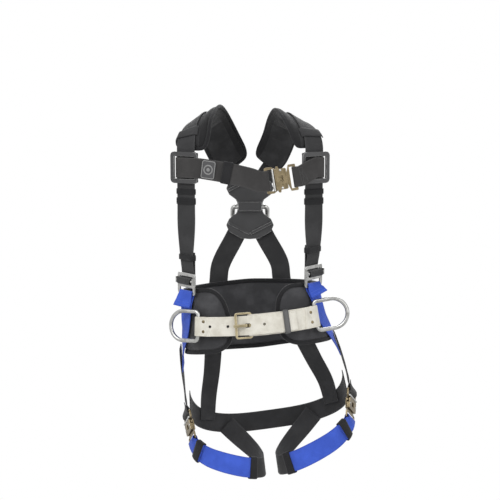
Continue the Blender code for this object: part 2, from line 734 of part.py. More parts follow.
# The buckle half folds round the hinge bar of the frame, 15 mm to the wearer's left of the buckle's middle
inner = [(52, -5.7, -0.1, -1), (44, -4.8, -0.1, -1), (36, -4.1, 0, -1), (26, -4.1, 0, -1), (19, -5.4, 0, -1)]
inner += bend(15, 0, 5.6, 285, 75, 7)
inner += [(22, 4.6, 0, 1), (28, 2.0, 0, 1), (36, 0.2, 0, 1)]
start = angle_at(BUCKLE_X + 0.046, 0, BELT_LIFT)
end = angle_at(RING_X[1] - 0.026, 0, BELT_LIFT)
run = belt_run(start, end, [(40, 0.2), (60, 0.2), (110, 0.6), (140, 1.6)])[::2]
run = in_frame(buckle, inner) + run + in_frame(FRAMES["left_ring_holder"], fold)
buckle_half = ribbon("belt_buckle_half", run, BELT_WIDTH, BELT_THICK, LEATHER)
notch = box(5, 27, -6.2, 6.2, -9, 9)
notch.transform(buckle)
combine(buckle_half, notch)
ring_outline = rounded([(-21, -29), (18, -29), (18, 29), (-21, 29)], 6)
frame_piece = piece("belt_buckle_frame", prism(ring_outline, -2.4, 2.4), GILT)
combine(frame_piece, prism(rect(-15.5, 12, -24.6, 24.6, 1.5), -6, 6))
clean(frame_piece, buckle)
hinge = Matrix.Translation((15 * MM, 0, 0))
frame_piece.matrix_world = buckle @ hinge @ Matrix.Rotation(radians(10), 4, "Y") @ hinge.inverted()
prong_side = [(5.6, -3.6), (5.6, 3.6), (2.2, 6), (-1.5, 5.8), (-4.8, 4.8), (-6, 9), (-8, 13.6), (-20, 13.9),
              (-37, 13.4), (-38.2, 11.4), (-36.6, 9.8), (-20, 10.2), (-11, 9.6), (-9.6, 6), (-7.4, 0.4),
              (-4.6, -4.4), (0, -5.8)]
bm = prism(prong_side[::-1], -3.2, 3.2)
bmesh.ops.rotate(bm, verts=bm.verts, matrix=Matrix.Rotation(radians(90), 3, "X"))
prong = piece("belt_tongue", bm, GILT)
eye = prism(disc(0, 0, 4.3, 14), -8, 8)
bmesh.ops.rotate(eye, verts=eye.verts, matrix=Matrix.Rotation(radians(90), 3, "X"))
combine(prong, eye)
clean(prong, buckle @ hinge)
keeper_angle = angle_at(KEEPER_X, 0, BELT_LIFT)
spots = [belt_knot(keeper_angle + step, BELT_LIFT + 2.9 * MM) for step in (-2.2, 0, 2.2)]
sleeve("belt_keeper", axes(spots), BELT_WIDTH + 2 * MM, 11 * MM, 1.8 * MM, MOULDED)

# Hip straps, thigh straps, leg straps and their buckles


def on_thigh(side, angle, z, lift):
    """A straight point round the thigh: 0 is its outer side, 90 its front and 180 its inner side."""
    c = cos(radians(angle))
    s = sin(radians(angle))
    reach = THIGH_RADIUS + lift
    return Vector((side * (THIGH_X + reach * c), THIGH_Y - reach * s, z)), Vector((side * c, -s, 0))


for side, word in ((1, "left"), (-1, "right")):
    adjuster = FRAMES[word + "_adjuster"]
    path = in_frame(adjuster, [(-21.6, 0, 0, 1), (-28, 0.3, 0, 1)])
    for angle, z, lift in ((63, 0.047, 20.2), (66, 0.022, 19), (70, -0.004, 18.2), (78, -0.033, 18.2),
                           (85, -0.060, 18.2), (89, -0.088, 18)):
        path.append(knot(*on_form(side * angle, z, lift * MM)))
    path = spline(path, 8 * MM)
    ribbon(word + "_hip_strap", folded(path, adjuster, -21.6, 4.0, -90, 2), WEB_WIDTH, WEB_THICK, BLUE_WEB)

    middle, facing = on_thigh(side, LEG_BUCKLE_ANGLE, LEG_BUCKLE_Z, 2 * MM)
    dip = radians(LEG_BUCKLE_DIP)
    turn = radians(LEG_BUCKLE_ANGLE)
    around = Vector((-side * sin(turn), -cos(turn), 0))
    leg = stance_frame(middle, around * cos(dip) + Vector((0, 0, -sin(dip))), facing)
    quick_buckle(word + "_leg_buckle", leg)

    path = in_frame(leg, [(-32, 0, 0, 1), (-38, 0, 0, 1)])
    for angle, z, lift in ((88.6, -0.163, 14.8), (90.3, -0.140, 16.2), (91.7, -0.112, 19.3), (91.4, -0.080, 22.2),
                           (90, -0.042, 23.8)):
        path.append(knot(*on_form(side * angle, z, lift * MM)))
    path = spline(path, 8 * MM)
    ribbon(word + "_thigh_strap", folded(path, leg, -32, 4.9, -90, 1), WEB_WIDTH, WEB_THICK, BLACK_WEB)

    path = in_frame(leg, [(32, 0, 0, 1), (39, 0, 0, 1)])
    for angle, z, lift in ((47, -0.268, 3), (62, -0.281, 1), (78, -0.2915, 0), (97, -0.303, 0), (119, -0.315, 0),
                           (142, -0.324, 0)):
        path.append(knot(*on_thigh(side, angle, z, lift * MM)))
    path = spline(path, 8 * MM)
    ribbon(word + "_leg_strap", folded(path, leg, 32, 4.9, 270, 2), WEB_WIDTH, WEB_THICK, BLUE_WEB)
    sleeve(word + "_leg_outer_sleeve", axes(path)[3:7], WEB_WIDTH + 3.2 * MM, 10 * MM, 1.5 * MM, ELASTIC)
    hidden = [(point - facing * (FOLD_LAYER / 2 + LAYER + 0.3 * MM), facing) for point, facing in path[-4:]]
    route = list(hidden)
    for angle, z, lift in ((166, -0.329, -3), (190, -0.325, -1), (215, -0.312, 1), (238, -0.291, 6),
                           (258, -0.264, 14), (272, -0.238, 22)):
        route.append(knot(*on_thigh(side, angle, z, lift * MM)))
    rear = spline(route, 14 * MM)
    ribbon(word + "_rear_leg_strap", rear, WEB_WIDTH, WEB_THICK, BLACK_WEB)
    spots = [(p - facing * (FOLD_LAYER / 2 + 1.5 * MM), across, facing) for p, across, facing in axes(path)[-4:]]
    sleeve(word + "_leg_inner_sleeve", spots, WEB_WIDTH + 3 * MM, 6.6 * MM, 1.5 * MM, ELASTIC)

seat = []
for i in range(37):
    angle = 90 + 180 * i / 36
    rise = abs(i - 18) / 18
    point, facing = on_form(angle, -0.242 + 0.088 * rise ** 2.4, (12 - 8.5 * max(0.0, rise - 0.7) / 0.3) * MM)
    seat.append(knot(point, facing))
ribbon("sub_pelvic_strap", seat, WEB_WIDTH, WEB_THICK, BLACK_WEB)

# Chest strap: long half with its tail, badge and keeper, buckle, short half

rise = radians(CHEST_BUCKLE_RISE)
chest = frame_at(Vector(CHEST_BUCKLE), Vector((cos(rise), 0.10, sin(rise))), Vector((0.10, -1, 0)))
quick_buckle("chest_buckle", chest)


def slider_side(word, side):
    """Axes at the web bar of a slider, the first away from the middle of the chest."""
    frame = FRAMES[word + "_slider"]
    across = frame.to_3x3() @ Vector((0, -side, 0))
    return frame_at(frame @ Vector((0, -side * 18 * MM, 6 * MM)), across, frame.to_3x3() @ Vector((0, 0, 1)))


right_bar = slider_side("right", -1)
left_bar = slider_side("left", 1)
catch = in_frame(right_bar, [(-18, 3.2, 0, -1)] + bend(0, 0, 3.2, 90, -90, 6, -1)
                 + [(-12, -3.2, 0, 1), (-28, -3.2, 0, 1)])
path = in_frame(chest, [(-32, 0, 0, 1), (-44, 0, 0, 1)])
path += [(Vector(CHEST_LOW), Vector((0, -1, 0))), (Vector(CHEST_HIGH), Vector((-0.2, -1, 0)))]
path += in_frame(right_bar, [(-58, 4.8, 0, 1), (-44, 4.6, 0, 1)])
path = spline(path, 12 * MM)
tail = max(i for i, (point, _) in enumerate(path) if point.x > CHEST_TAIL_X)
run = folded(path, chest, -32, 4.9, -90, tail) + catch
ribbon("chest_strap_long", run, WEB_WIDTH, WEB_THICK, BLACK_WEB)
spot = min(range(len(path)), key=lambda i: abs(path[i][0].x - BADGE_X))
badge = frame_at(path[spot][0], path[spot - 1][0] - path[spot + 1][0], path[spot][1])
badge = badge @ Matrix.Translation((0, 0, 0.1 * MM))
piece("chest_badge", prism(rect(-16, 16, -20, 20, 5), 0, 2.4), BADGE, badge)
spots = axes(path)[tail - 1:tail + 2]
sleeve("chest_tail_keeper", spots, WEB_WIDTH + 1.4 * MM, 6.2 * MM, 1.5 * MM, ELASTIC)

near_tab = in_frame(chest, [(45, -4.2, 0, -1)] + bend(32, 0, 4.9, 270, 90) + [(44, 4.6, 0, 1)])
over = in_frame(left_bar, [(-20, 3.3, 0, 1)] + bend(0, 0, 3.2, 90, -90)
                + [(-12, -3.2, 0, -1), (-26, -3.2, 0, -1)])
ribbon("chest_strap_short", near_tab + over, WEB_WIDTH, WEB_THICK, BLACK_WEB)
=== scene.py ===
# Full body safety harness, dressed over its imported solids. Lengths are in metres in the solids' own frame:
# +Z is up, -Y is ahead and +X is the left side.
import bmesh
import bpy
import json
from math import ceil, copysign, cos, pi, radians, sin, tan
from mathutils import Matrix, Vector
from mathutils.geometry import intersect_point_line


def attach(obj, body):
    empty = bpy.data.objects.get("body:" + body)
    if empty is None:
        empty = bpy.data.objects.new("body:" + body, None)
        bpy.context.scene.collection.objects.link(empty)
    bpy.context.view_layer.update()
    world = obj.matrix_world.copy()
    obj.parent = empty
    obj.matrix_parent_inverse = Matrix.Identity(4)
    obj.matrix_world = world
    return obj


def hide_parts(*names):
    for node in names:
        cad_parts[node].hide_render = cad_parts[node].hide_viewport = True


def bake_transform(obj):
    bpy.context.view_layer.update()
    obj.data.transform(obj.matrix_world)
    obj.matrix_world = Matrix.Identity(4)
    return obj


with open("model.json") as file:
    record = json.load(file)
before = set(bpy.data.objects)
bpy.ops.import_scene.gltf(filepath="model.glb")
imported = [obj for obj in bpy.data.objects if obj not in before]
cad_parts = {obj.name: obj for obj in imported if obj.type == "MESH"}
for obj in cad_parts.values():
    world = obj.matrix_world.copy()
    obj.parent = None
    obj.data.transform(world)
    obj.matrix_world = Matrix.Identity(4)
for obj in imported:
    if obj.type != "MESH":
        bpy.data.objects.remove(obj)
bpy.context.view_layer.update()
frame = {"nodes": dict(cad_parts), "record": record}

# ------------------------------
# Studio. A pale floor that fades into white a step away from the harness, three large soft lamps, and a
# long lens straight ahead at chest height.
FLOOR_Z, FLOOR_RADIUS = -0.95, 9.0
FADE_START, FADE_END, NEAR_WHITE = 0.5, 1.7, 0.45
SOFT_LIGHT = 0.42
LAMPS = (
    ("key", (-1.7, -2.5, 2.1), 2.4, 62),
    ("fill", (2.0, -2.4, 1.0), 2.4, 34),
    ("back", (0.4, 2.6, 2.0), 2.0, 52),
)
LAMP_AIM = Vector((0, 0, 0.1))
CAMERA, SEEN_WIDTH, SENSOR = (0.0, -3.0, 0.166), 1.15, 36
WHITE = (1.0, 1.0, 1.0, 1.0)
scene = bpy.context.scene


class Wire:
    """A node's output. Sums and products of wires and numbers add their Math nodes to the same tree."""

    def __init__(self, tree, socket=None):
        self.tree = tree
        self.socket = socket

    def node(self, kind, settings, feeds, output=0):
        made = self.tree.nodes.new("ShaderNode" + kind)
        for key, value in settings.items():
            setattr(made, key, value)
        for key, value in feeds.items():
            if isinstance(value, Wire):
                self.tree.links.new(value.socket, made.inputs[key])
            else:
                made.inputs[key].default_value = value
        return Wire(self.tree, made.outputs[output]) if made.outputs else None

    def out(self, name):
        return Wire(self.tree, self.socket.node.outputs[name])

    def maths(self, operation, *values):
        return self.node("Math", {"operation": operation}, dict(enumerate(values)))

    def __add__(self, other):
        return self.maths("ADD", self, other)

    def __sub__(self, other):
        return self.maths("SUBTRACT", self, other)

    def __rsub__(self, other):
        return self.maths("SUBTRACT", other, self)

    def __mul__(self, other):
        return self.maths("MULTIPLY", self, other)

    __radd__ = __add__
    __rmul__ = __mul__

    def wave(self, pitch):
        """Runs between 0 and 1 once in every pitch."""
        return self.maths("SINE", self * (2 * pi / pitch)) * 0.5 + 0.5

    def ramp(self, low, high):
        """0 below the low value, 1 above the high one, smooth between."""
        return self.node("MapRange", {"interpolation_type": "SMOOTHSTEP"}, {0: self, 1: low, 2: high})

    def mix(self, first, second):
        """The first colour where the wire is 0 and the second where it is 1."""
        colours = [c if isinstance(c, Wire) else (*c, 1.0) for c in (first, second)]
        return self.node("Mix", {"data_type": "RGBA"}, {0: self, 6: colours[0], 7: colours[1]}, 2)

    def place(self):
        return self.node("TexCoord", {}, {}, "Object")

    def noise(self, place, scale, detail=2.0, rough=0.5):
        feeds = {"Vector": place, "Scale": scale, "Detail": detail, "Roughness": rough}
        return self.node("TexNoise", {}, feeds)

    def seen(self):
        """1 for what the lens sees, straight or in metal and glass."""
        rays = self.node("LightPath", {}, {})
        return rays.out("Is Camera Ray") + rays.out("Is Glossy Ray") + rays.out("Is Transmission Ray")


def begin(name):
    """A new finish and a wire to build its nodes from."""
    made = bpy.data.materials.new(name)
    made.use_nodes = True
    return made, Wire(made.node_tree)


def shown(name, data):
    """A new object in the scene."""
    made = bpy.data.objects.new(name, data)
    scene.collection.objects.link(made)
    return made


def meshed(name, bm, finish):
    """A new object in the scene from an edit mesh, all in one finish."""
    mesh = bpy.data.meshes.new(name)
    bm.to_mesh(mesh)
    bm.free()
    mesh.materials.append(finish)
    return shown(name, mesh)


floor_finish, start = begin("pale_floor")
start.tree.nodes.clear()
away = start.node("VectorMath", {"operation": "LENGTH"}, {0: start.place()}, "Value")
fade = away.ramp(FADE_START, FADE_END) * (1 - NEAR_WHITE) + NEAR_WHITE
matt = start.node("BsdfDiffuse", {}, {"Color": (0.86, 0.86, 0.85, 1.0)})
white = start.node("Emission", {}, {"Color": WHITE, "Strength": 1.0})
lit = start.node("MixShader", {}, {0: start.seen() * fade, 1: matt, 2: white})
start.node("OutputMaterial", {}, {"Surface": lit})
bm = bmesh.new()
bmesh.ops.create_circle(bm, cap_ends=True, segments=64, radius=FLOOR_RADIUS)
floor = meshed("floor", bm, floor_finish)
floor.location.z = FLOOR_Z

scene.world = bpy.data.worlds.new("studio")
scene.world.use_nodes = True
start = Wire(scene.world.node_tree)
start.tree.nodes.clear()
soft, white = (start.node("Background", {}, {"Color": WHITE, "Strength": s}) for s in (SOFT_LIGHT, 1.0))
start.node("OutputWorld", {}, {"Surface": start.node("MixShader", {}, {0: start.seen(), 1: soft, 2: white})})

for name, spot, size, power in LAMPS:
    lamp = bpy.data.lights.new(name, "AREA")
    lamp.size = size
    lamp.energy = power
    made = shown(name, lamp)
    made.location = spot
    made.rotation_euler = (LAMP_AIM - Vector(spot)).to_track_quat("-Z", "Y").to_euler()

lens = bpy.data.cameras.new("lens")
lens.sensor_width = SENSOR
lens.lens = SENSOR * -CAMERA[1] / SEEN_WIDTH
scene.camera = shown("camera", lens)
scene.camera.location = CAMERA
scene.camera.rotation_euler = (pi / 2, 0, 0)
scene.view_settings.view_transform = "Standard"

# ------------------------------
# Shoulder straps. Black polyester harness webbing, 45 mm wide, woven with a herringbone face and firm
# selvedges. Each starts doubled at its torso adjuster, climbs the chest, crosses in the dorsal plate and
# ends sewn on the seat strap.
MM = 0.001
SIDES = ((1, "left"), (-1, "right"))
WEB_WIDTH, WEB_THICK = 45 * MM, 2.2 * MM
ROUTE_STEP, WEB_STEP = 14 * MM, 5 * MM
WEB_QUARTER = [(1.0, 0.0), (0.993, 0.6), (0.955, 0.98), (0.90, 1.0), (0.80, 0.92), (0.45, 0.95), (0.0, 0.97)]
CUT_END = 0.7
SEWN_HALF, SEAM_STEP, SEAT_TACK = 17 * MM, 3 * MM, (-44, -6)

# The hanging form: where the hips lean and stand out, and (height, half width, half depth, middle) rows.
LEAN_START, LEAN_PER_METRE, LEAN_MOST = 0.24, 19.5, 7.8
SHIFT_START, SHIFT_END, HIP_SHIFT = 0.10, -0.25, 0.048
NECK_START, NECK_END, NECK_SHIFT = 0.40, 0.48, -0.007
FORM = (
    (-0.36, 0.170, 0.118, 0.014), (-0.24, 0.175, 0.124, 0.014), (-0.15, 0.174, 0.124, 0.010),
    (-0.06, 0.158, 0.110, 0.002), (0.00, 0.148, 0.104, -0.002), (0.10, 0.140, 0.099, -0.003),
    (0.20, 0.148, 0.105, 0.000),
)
SQUARENESS = 2.4

# The route of a strap: round its adjuster, up the chest, over the shoulder, through the plate, down behind.
STRAP_X, STRAP_LOW_Y, STRAP_LOW_Z, STRAP_RISE_Y = 0.142, -0.079, 0.150, -0.15
CHEST_TURN, WAIST_TURN = 27, 50
ADJUSTER_DROP = {1: 45, -1: 54}
DORSAL_Y, DORSAL_Z, CROSS_ANGLE, CROSS_LAYER = 0.131, 0.270, radians(27), {1: 1.7, -1: 4.5}
UP_CHEST = (0.224, 0.262, 0.349, 0.378, 0.394)
OVER_SHOULDER = (
    (0.1395, -0.1105, 0.416, 0.47, -0.78, 0.42), (0.1310, -0.0890, 0.441, 0.52, -0.52, 0.68),
    (0.1190, -0.0470, 0.462, 0.56, -0.22, 0.80), (0.1080, 0.0050, 0.470, 0.57, 0.06, 0.82),
    (0.0980, 0.0530, 0.458, 0.48, 0.46, 0.74), (0.0840, 0.0930, 0.424, 0.32, 0.84, 0.42),
    (0.0640, 0.1190, 0.383, 0.14, 0.97, 0.20),
)
THROUGH_PLATE = (0.086, 0.045, 0.0, -0.045, -0.086)
SEAM_HEIGHTS, SEAM_ACROSS = (0.400, 0.370), 18.5 * MM
DOWN_BEHIND = (
    (203, 0.135, 18.5), (206, 0.09, 16.2), (209, 0.045, 16.2), (212, 0.0, 16.2), (215, -0.05, 16.2),
    (220, -0.11, 12), (227, -0.165, 8), (232, -0.218, 5.6),
)


def stance(point):
    """Carries a point of the straight harness into the stance, with leaning hips."""
    x, y, z = point
    lean = radians(min(LEAN_MOST, LEAN_PER_METRE * max(0.0, LEAN_START - z)))
    hip = min(1.0, max(0.0, (SHIFT_START - z) / (SHIFT_START - SHIFT_END)))
    neck = min(1.0, max(0.0, (z - NECK_START) / (NECK_END - NECK_START)))
    shift = HIP_SHIFT * hip * hip * (3 - 2 * hip) + NECK_SHIFT * neck * neck * (3 - 2 * neck)
    return Vector((x + shift, y, z + x * tan(lean)))


def knot(point, outward):
    """A point of a strap's middle and the way its face looks, both in the stance."""
    point = Vector(point)
    placed = stance(point)
    return placed, (stance(point + Vector(outward).normalized() * MM) - placed).normalized()


def frame_at(point, along, outward):
    """Local axes with the first along, the third outward and the second across."""
    first = along.normalized()
    third = (outward - first * outward.dot(first)).normalized()
    made = Matrix((first, third.cross(first), third)).transposed().to_4x4()
    made.translation = point
    return made


def stance_frame(point, along, outward):
    placed, facing = knot(point, outward)
    return frame_at(placed, stance(Vector(point) + Vector(along) * MM) - placed, facing)


def moved(place, x, y, z):
    """Axes moved by millimetres along themselves."""
    return place @ Matrix.Translation(Vector((x, y, z)) * MM)


def spline(knots, step):
    """Knots on a smooth curve through the knots given, about one step apart."""
    rows = [Vector((*point, *facing)) for point, facing in knots]
    lengths = [(b[0] - a[0]).length for a, b in zip(knots, knots[1:])]
    slopes = [(rows[1] - rows[0]) / lengths[0]]
    for i in range(1, len(rows) - 1):
        slopes.append((rows[i + 1] - rows[i - 1]) / (lengths[i] + lengths[i - 1]))
    slopes.append((rows[-1] - rows[-2]) / lengths[-1])
    made = []
    for i, length in enumerate(lengths):
        count = max(1, ceil(length / step))
        stops = count + 1 if i == len(lengths) - 1 else count
        for j in range(stops):
            t = j / count
            row = rows[i] * (2 * t**3 - 3 * t**2 + 1) + slopes[i] * (length * (t**3 - 2 * t**2 + t))
            row += rows[i + 1] * (3 * t**2 - 2 * t**3) + slopes[i + 1] * (length * (t**3 - t**2))
            made.append((Vector(row[:3]), Vector(row[3:]).normalized()))
    return made


def in_frame(place, rows):
    """Knots from rows of (along, out, facing along, facing out), the lengths in millimetres."""
    turn = place.to_3x3()
    return [
        (place @ Vector((along * MM, 0, out * MM)), (turn @ Vector((facing, 0, up))).normalized())
        for along, out, facing, up in rows
    ]


def bend(along, out, radius, first, last, count=6, side=1):
    """Rows round a bar, from the first to the last angle: 0 is along and 90 is outward."""
    turns = [radians(first + (last - first) * i / count) for i in range(count + 1)]
    return [(along + radius * cos(a), out + radius * sin(a), side * cos(a), side * sin(a)) for a in turns]


def bare_form(angle, z):
    """A point of the form and its level outward direction, the angle in degrees from ahead to the left."""
    low, high = next(pair for pair in zip(FORM, FORM[1:]) if z <= pair[1][0] or pair[1] is FORM[-1])
    t = (z - low[0]) / (high[0] - low[0])
    wide, deep, middle = (a + (b - a) * t for a, b in zip(low[1:], high[1:]))
    s, c = sin(radians(angle)), cos(radians(angle))
    power = 2 / SQUARENESS
    point = (copysign(wide * abs(s) ** power, s), middle - copysign(deep * abs(c) ** power, c), z)
    facing = (copysign(abs(s) ** (2 - power) / wide, s), -copysign(abs(c) ** (2 - power) / deep, c), 0)
    return Vector(point), Vector(facing).normalized()


def on_form(angle, z, lift):
    """A straight point lifted off the form and its outward direction."""
    point, facing = bare_form(angle, z)
    near = 10 * MM
    slope = (bare_form(angle, z + near)[0] - bare_form(angle, z - near)[0]) / (2 * near)
    facing.z = -facing.dot(slope)
    facing.normalize()
    return point + facing * lift, facing


def round_form(side, rows):
    """Knots on one side of the form from rows of (angle, height, lift in millimetres)."""
    return [knot(*on_form(side * angle, z, lift * MM)) for angle, z, lift in rows]


def axes(knots):
    """The point, the way across and the way out at each knot of a run."""
    last = len(knots) - 1
    made = []
    for i, (point, facing) in enumerate(knots):
        along = (knots[min(i + 1, last)][0] - knots[max(i - 1, 0)][0]).normalized()
        facing = (facing - along * facing.dot(along)).normalized()
        made.append((point, along.cross(facing), facing))
    return made


def reaches(rows):
    """Distance of each row from the first, along the run."""
    made = [0.0]
    for a, b in zip(rows, rows[1:]):
        made.append(made[-1] + (b[0] - a[0]).length)
    return made


home = {node: body for body, nodes in frame["record"]["behaviour"]["bodies"].items() for node in nodes}


def piece(name, bm, finish, node=None, body="harness", hold=None, crease=None):
    """Makes a mesh of the harness: it rides a body, or is left loose in place where it spans two, and stands
    for its solid.
    """
    bmesh.ops.recalc_face_normals(bm, faces=bm.faces)
    material, slot = finish
    made = meshed(name, bm, material)
    made.data.shade_smooth()
    if crease:
        made.data.set_sharp_from_angle(angle=radians(crease))
    if hold:
        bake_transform(made)
    else:
        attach(made, home.get(node, body))
    if node:
        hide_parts(node)
    return made


def shell(bm, loops, around=False):
    """Faces over closed loops of points, capped at both ends or run on from the last loop to the first."""
    made = [[bm.verts.new(point) for point in loop] for loop in loops]
    after = made[1:] + made[:1] if around else made[1:]
    for near, far in zip(made, after):
        for i in range(len(near)):
            j = (i + 1) % len(near)
            bm.faces.new((near[i], near[j], far[j], far[i]))
    if not around:
        bm.faces.new(made[0])
        bm.faces.new(made[-1])


def skin(loops, charts, around=False):
    """A shell mapped in metres by one (across, along) pair for each point."""
    bm = bmesh.new()
    layer = bm.loops.layers.uv.new("weave")
    shell(bm, loops, around)
    bm.verts.index_update()
    size, last = len(loops[0]), len(loops) - 1
    gap = (sum(loops[0], Vector()) - sum(loops[-1], Vector())).length / size
    for face in bm.faces:
        spots = [divmod(corner.vert.index, size) for corner in face.loops]
        rejoins = around and spots[0][0] == last
        for corner, (row, spot) in zip(face.loops, spots):
            u, v = charts[row][spot]
            corner[layer].uv = (u, charts[last][spot][1] + gap if rejoins and row == 0 else v)
    return bm


def loft(rows, rings, around=False):
    """A skin over one ring of (across, out) points at each row of axes."""
    loops = [[p + across * a + facing * b for a, b in ring] for (p, across, facing), ring in zip(rows, rings)]
    charts = [[(a, reach) for a, _ in ring] for reach, ring in zip(reaches(rows), rings)]
    return skin(loops, charts, around)


def mirrored(quarter, width, thick):
    """A section of a strap from a quarter of it, given in halves of the width and the thickness."""
    w, t = width / 2, thick / 2
    top = [(a * w, b * t) for a, b in quarter] + [(-a * w, b * t) for a, b in quarter[-2::-1]]
    return top + [(-a * w, -b * t) for a, b in quarter[1:]] + [(a * w, -b * t) for a, b in quarter[-2:0:-1]]


def web(name, knots, finish, node, hold=None):
    """A strap along its knots, its cut ends pressed thinner. Gives its rows."""
    rows = axes(spline(knots, WEB_STEP))
    ends = (0, len(rows) - 1)
    thick = [WEB_THICK * (CUT_END if i in ends else 1.0) for i in range(len(rows))]
    piece(name, loft(rows, [mirrored(WEB_QUARTER, WEB_WIDTH, t) for t in thick]), finish, node, hold=hold)
    return rows


def cloth_chart(start):
    """Distances across and along a length of cloth, in metres."""
    split = start.node("SeparateXYZ", {}, {0: start.node("UVMap", {"uv_map": "weave"}, {})})
    return split.out("X"), split.out("Y")


def close(start, colour, rough, height, depth, sheen=0.0, metal=0.0, spec=0.5):
    """Feeds the finish's shader: what changes over the surface is linked, the rest is set on its sockets."""
    shader = start.tree.nodes["Principled BSDF"]
    bump = start.node("Bump", {}, {"Strength": 0.7, "Distance": depth, "Height": height})
    for key, wire in (("Base Color", colour), ("Roughness", rough), ("Normal", bump)):
        start.tree.links.new(wire.socket, shader.inputs[key])
    for key, value in (("Metallic", metal), ("Sheen Weight", sheen), ("Sheen Roughness", 0.45),
                       ("Coat Weight", 0.0), ("Specular IOR Level", spec)):
        shader.inputs[key].default_value = value


def scaled(colour, share):
    return [c * share for c in colour]


def woven(name, slot, yarn, shade, edge, pitch=1.3 * MM, width=WEB_WIDTH):
    """Herringbone webbing: ribs along, zigzag twill across, uneven dye; the weave's recesses are painted
    darker as shade, and the selvedges take the edge colour: partly wear and partly a painted highlight on the
    black and grey webbing, painted shade on the blue.
    """
    made, start = begin(name)
    across, along = cloth_chart(start)
    twill = (along + start.maths("PINGPONG", across, 5.5 * MM) * 0.9).wave(pitch * 1.7)
    height = twill * 0.62 + across.wave(pitch) * 0.38
    place = start.place()
    dye, fuzz = start.noise(place, 28.0, 3.0), start.noise(place, 900.0, 1.0)
    # The selvedges take the edge colour: on the black and grey webbing partly wear and partly a painted
    # highlight, on the blue webbing painted shade.
    selvedge_wear_and_light = start.maths("ABSOLUTE", across).ramp(width * 0.44, width * 0.49)
    # Painted shade: the weave's recesses take the darker colour, the raised yarn the paler one, with fine
    # fuzz mixed in.
    colour = (height * 0.75 + fuzz * 0.25).mix(shade, yarn)
    colour = (dye.ramp(0.35, 0.75) * 0.28).mix(colour, scaled(yarn, 1.5))
    colour = (selvedge_wear_and_light * 0.55).mix(colour, edge)
    rough = 0.74 + height * 0.1 + fuzz * 0.08
    close(start, colour, rough, height + fuzz * 0.3, 0.35 * MM, sheen=0.15, spec=0.2)
    return made, slot


def thread(name, slot, colour):
    """Bonded twisted thread with a soft shine."""
    made, start = begin(name)
    ply = start.noise(start.place(), 1600.0, 1.0)
    close(start, ply.mix(scaled(colour, 0.6), scaled(colour, 1.4)), ply * 0.2 + 0.45, ply, 0.1 * MM)
    return made, slot


def stitches(name, lines, finish, pitch=3.8 * MM, length=3.0 * MM, thick=0.5 * MM, body="harness", hold=None):
    """Sewing thread along lines of (point, facing): one short plump stitch in every pitch."""
    bm = bmesh.new()
    for line in lines:
        along = reaches(line)
        spot = 0
        count = max(1, round(along[-1] / pitch))
        for n in range(count):
            here = (n + 0.5) * along[-1] / count
            while along[spot + 1] < here:
                spot += 1
            (a, facing), (b, _) = line[spot], line[spot + 1]
            way = (b - a).normalized()
            middle = a + way * (here - along[spot])
            side = way.cross(facing).normalized()
            stops = [middle + way * (end * length / 2) for end in (-1, 1, -0.6, 0.6)]
            tips = [bm.verts.new(stop - facing * (0.3 * thick)) for stop in stops[:2]]
            spokes = (side, facing, -side, -facing)
            belts = [[bm.verts.new(stop + s * thick) for s in spokes] for stop in stops[2:]]
            for i in range(4):
                j = (i + 1) % 4
                bm.faces.new((tips[0], belts[0][i], belts[0][j]))
                bm.faces.new((belts[0][i], belts[1][i], belts[1][j], belts[0][j]))
                bm.faces.new((belts[1][i], tips[1], belts[1][j]))
    return piece(name, bm, finish, body=body, hold=hold)


def on_web(rows, marks, lift=WEB_THICK / 2):
    """Points on a strap's face for marks of (distance along, distance across)."""
    along = reaches(rows)
    made = []
    for (s0, a0), (s1, a1) in zip(marks, marks[1:]):
        count = max(1, ceil(((s1 - s0) ** 2 + (a1 - a0) ** 2) ** 0.5 / SEAM_STEP))
        for n in range(count + 1):
            s = s0 + (s1 - s0) * n / count
            a = a0 + (a1 - a0) * n / count
            k = max(i for i in range(len(rows) - 1) if along[i] <= max(s, 0.0))
            t = (s - along[k]) / (along[k + 1] - along[k])
            point, across, facing = [p.lerp(q, t) for p, q in zip(rows[k], rows[k + 1])]
            if not made or n:
                made.append((point + across * a + facing * lift, facing.normalized()))
    return made


def tack(rows, first, last):
    """A sewn box with a cross in it between two distances in millimetres, from the end where negative."""
    whole = reaches(rows)[-1]
    first, last = (s * MM + (whole if s < 0 else 0.0) for s in (first, last))
    corners = [(first, -SEWN_HALF), (last, -SEWN_HALF), (last, SEWN_HALF), (first, SEWN_HALF)]
    box = corners + corners[:1]
    return [on_web(rows, marks) for marks in (box, corners[::2], corners[:0:-2])]


def strap_turned(turn, side):
    return (side * sin(radians(turn)), -cos(radians(turn)), 0)


def front_point(side, z):
    return (side * STRAP_X, STRAP_LOW_Y + STRAP_RISE_Y * (z - STRAP_LOW_Z), z)


def lies_over(point, heights):
    """Whether a point of a shoulder strap lies above the first height in front or the second behind."""
    front, back = heights
    return point.z > (front if point.y < 0 else back)
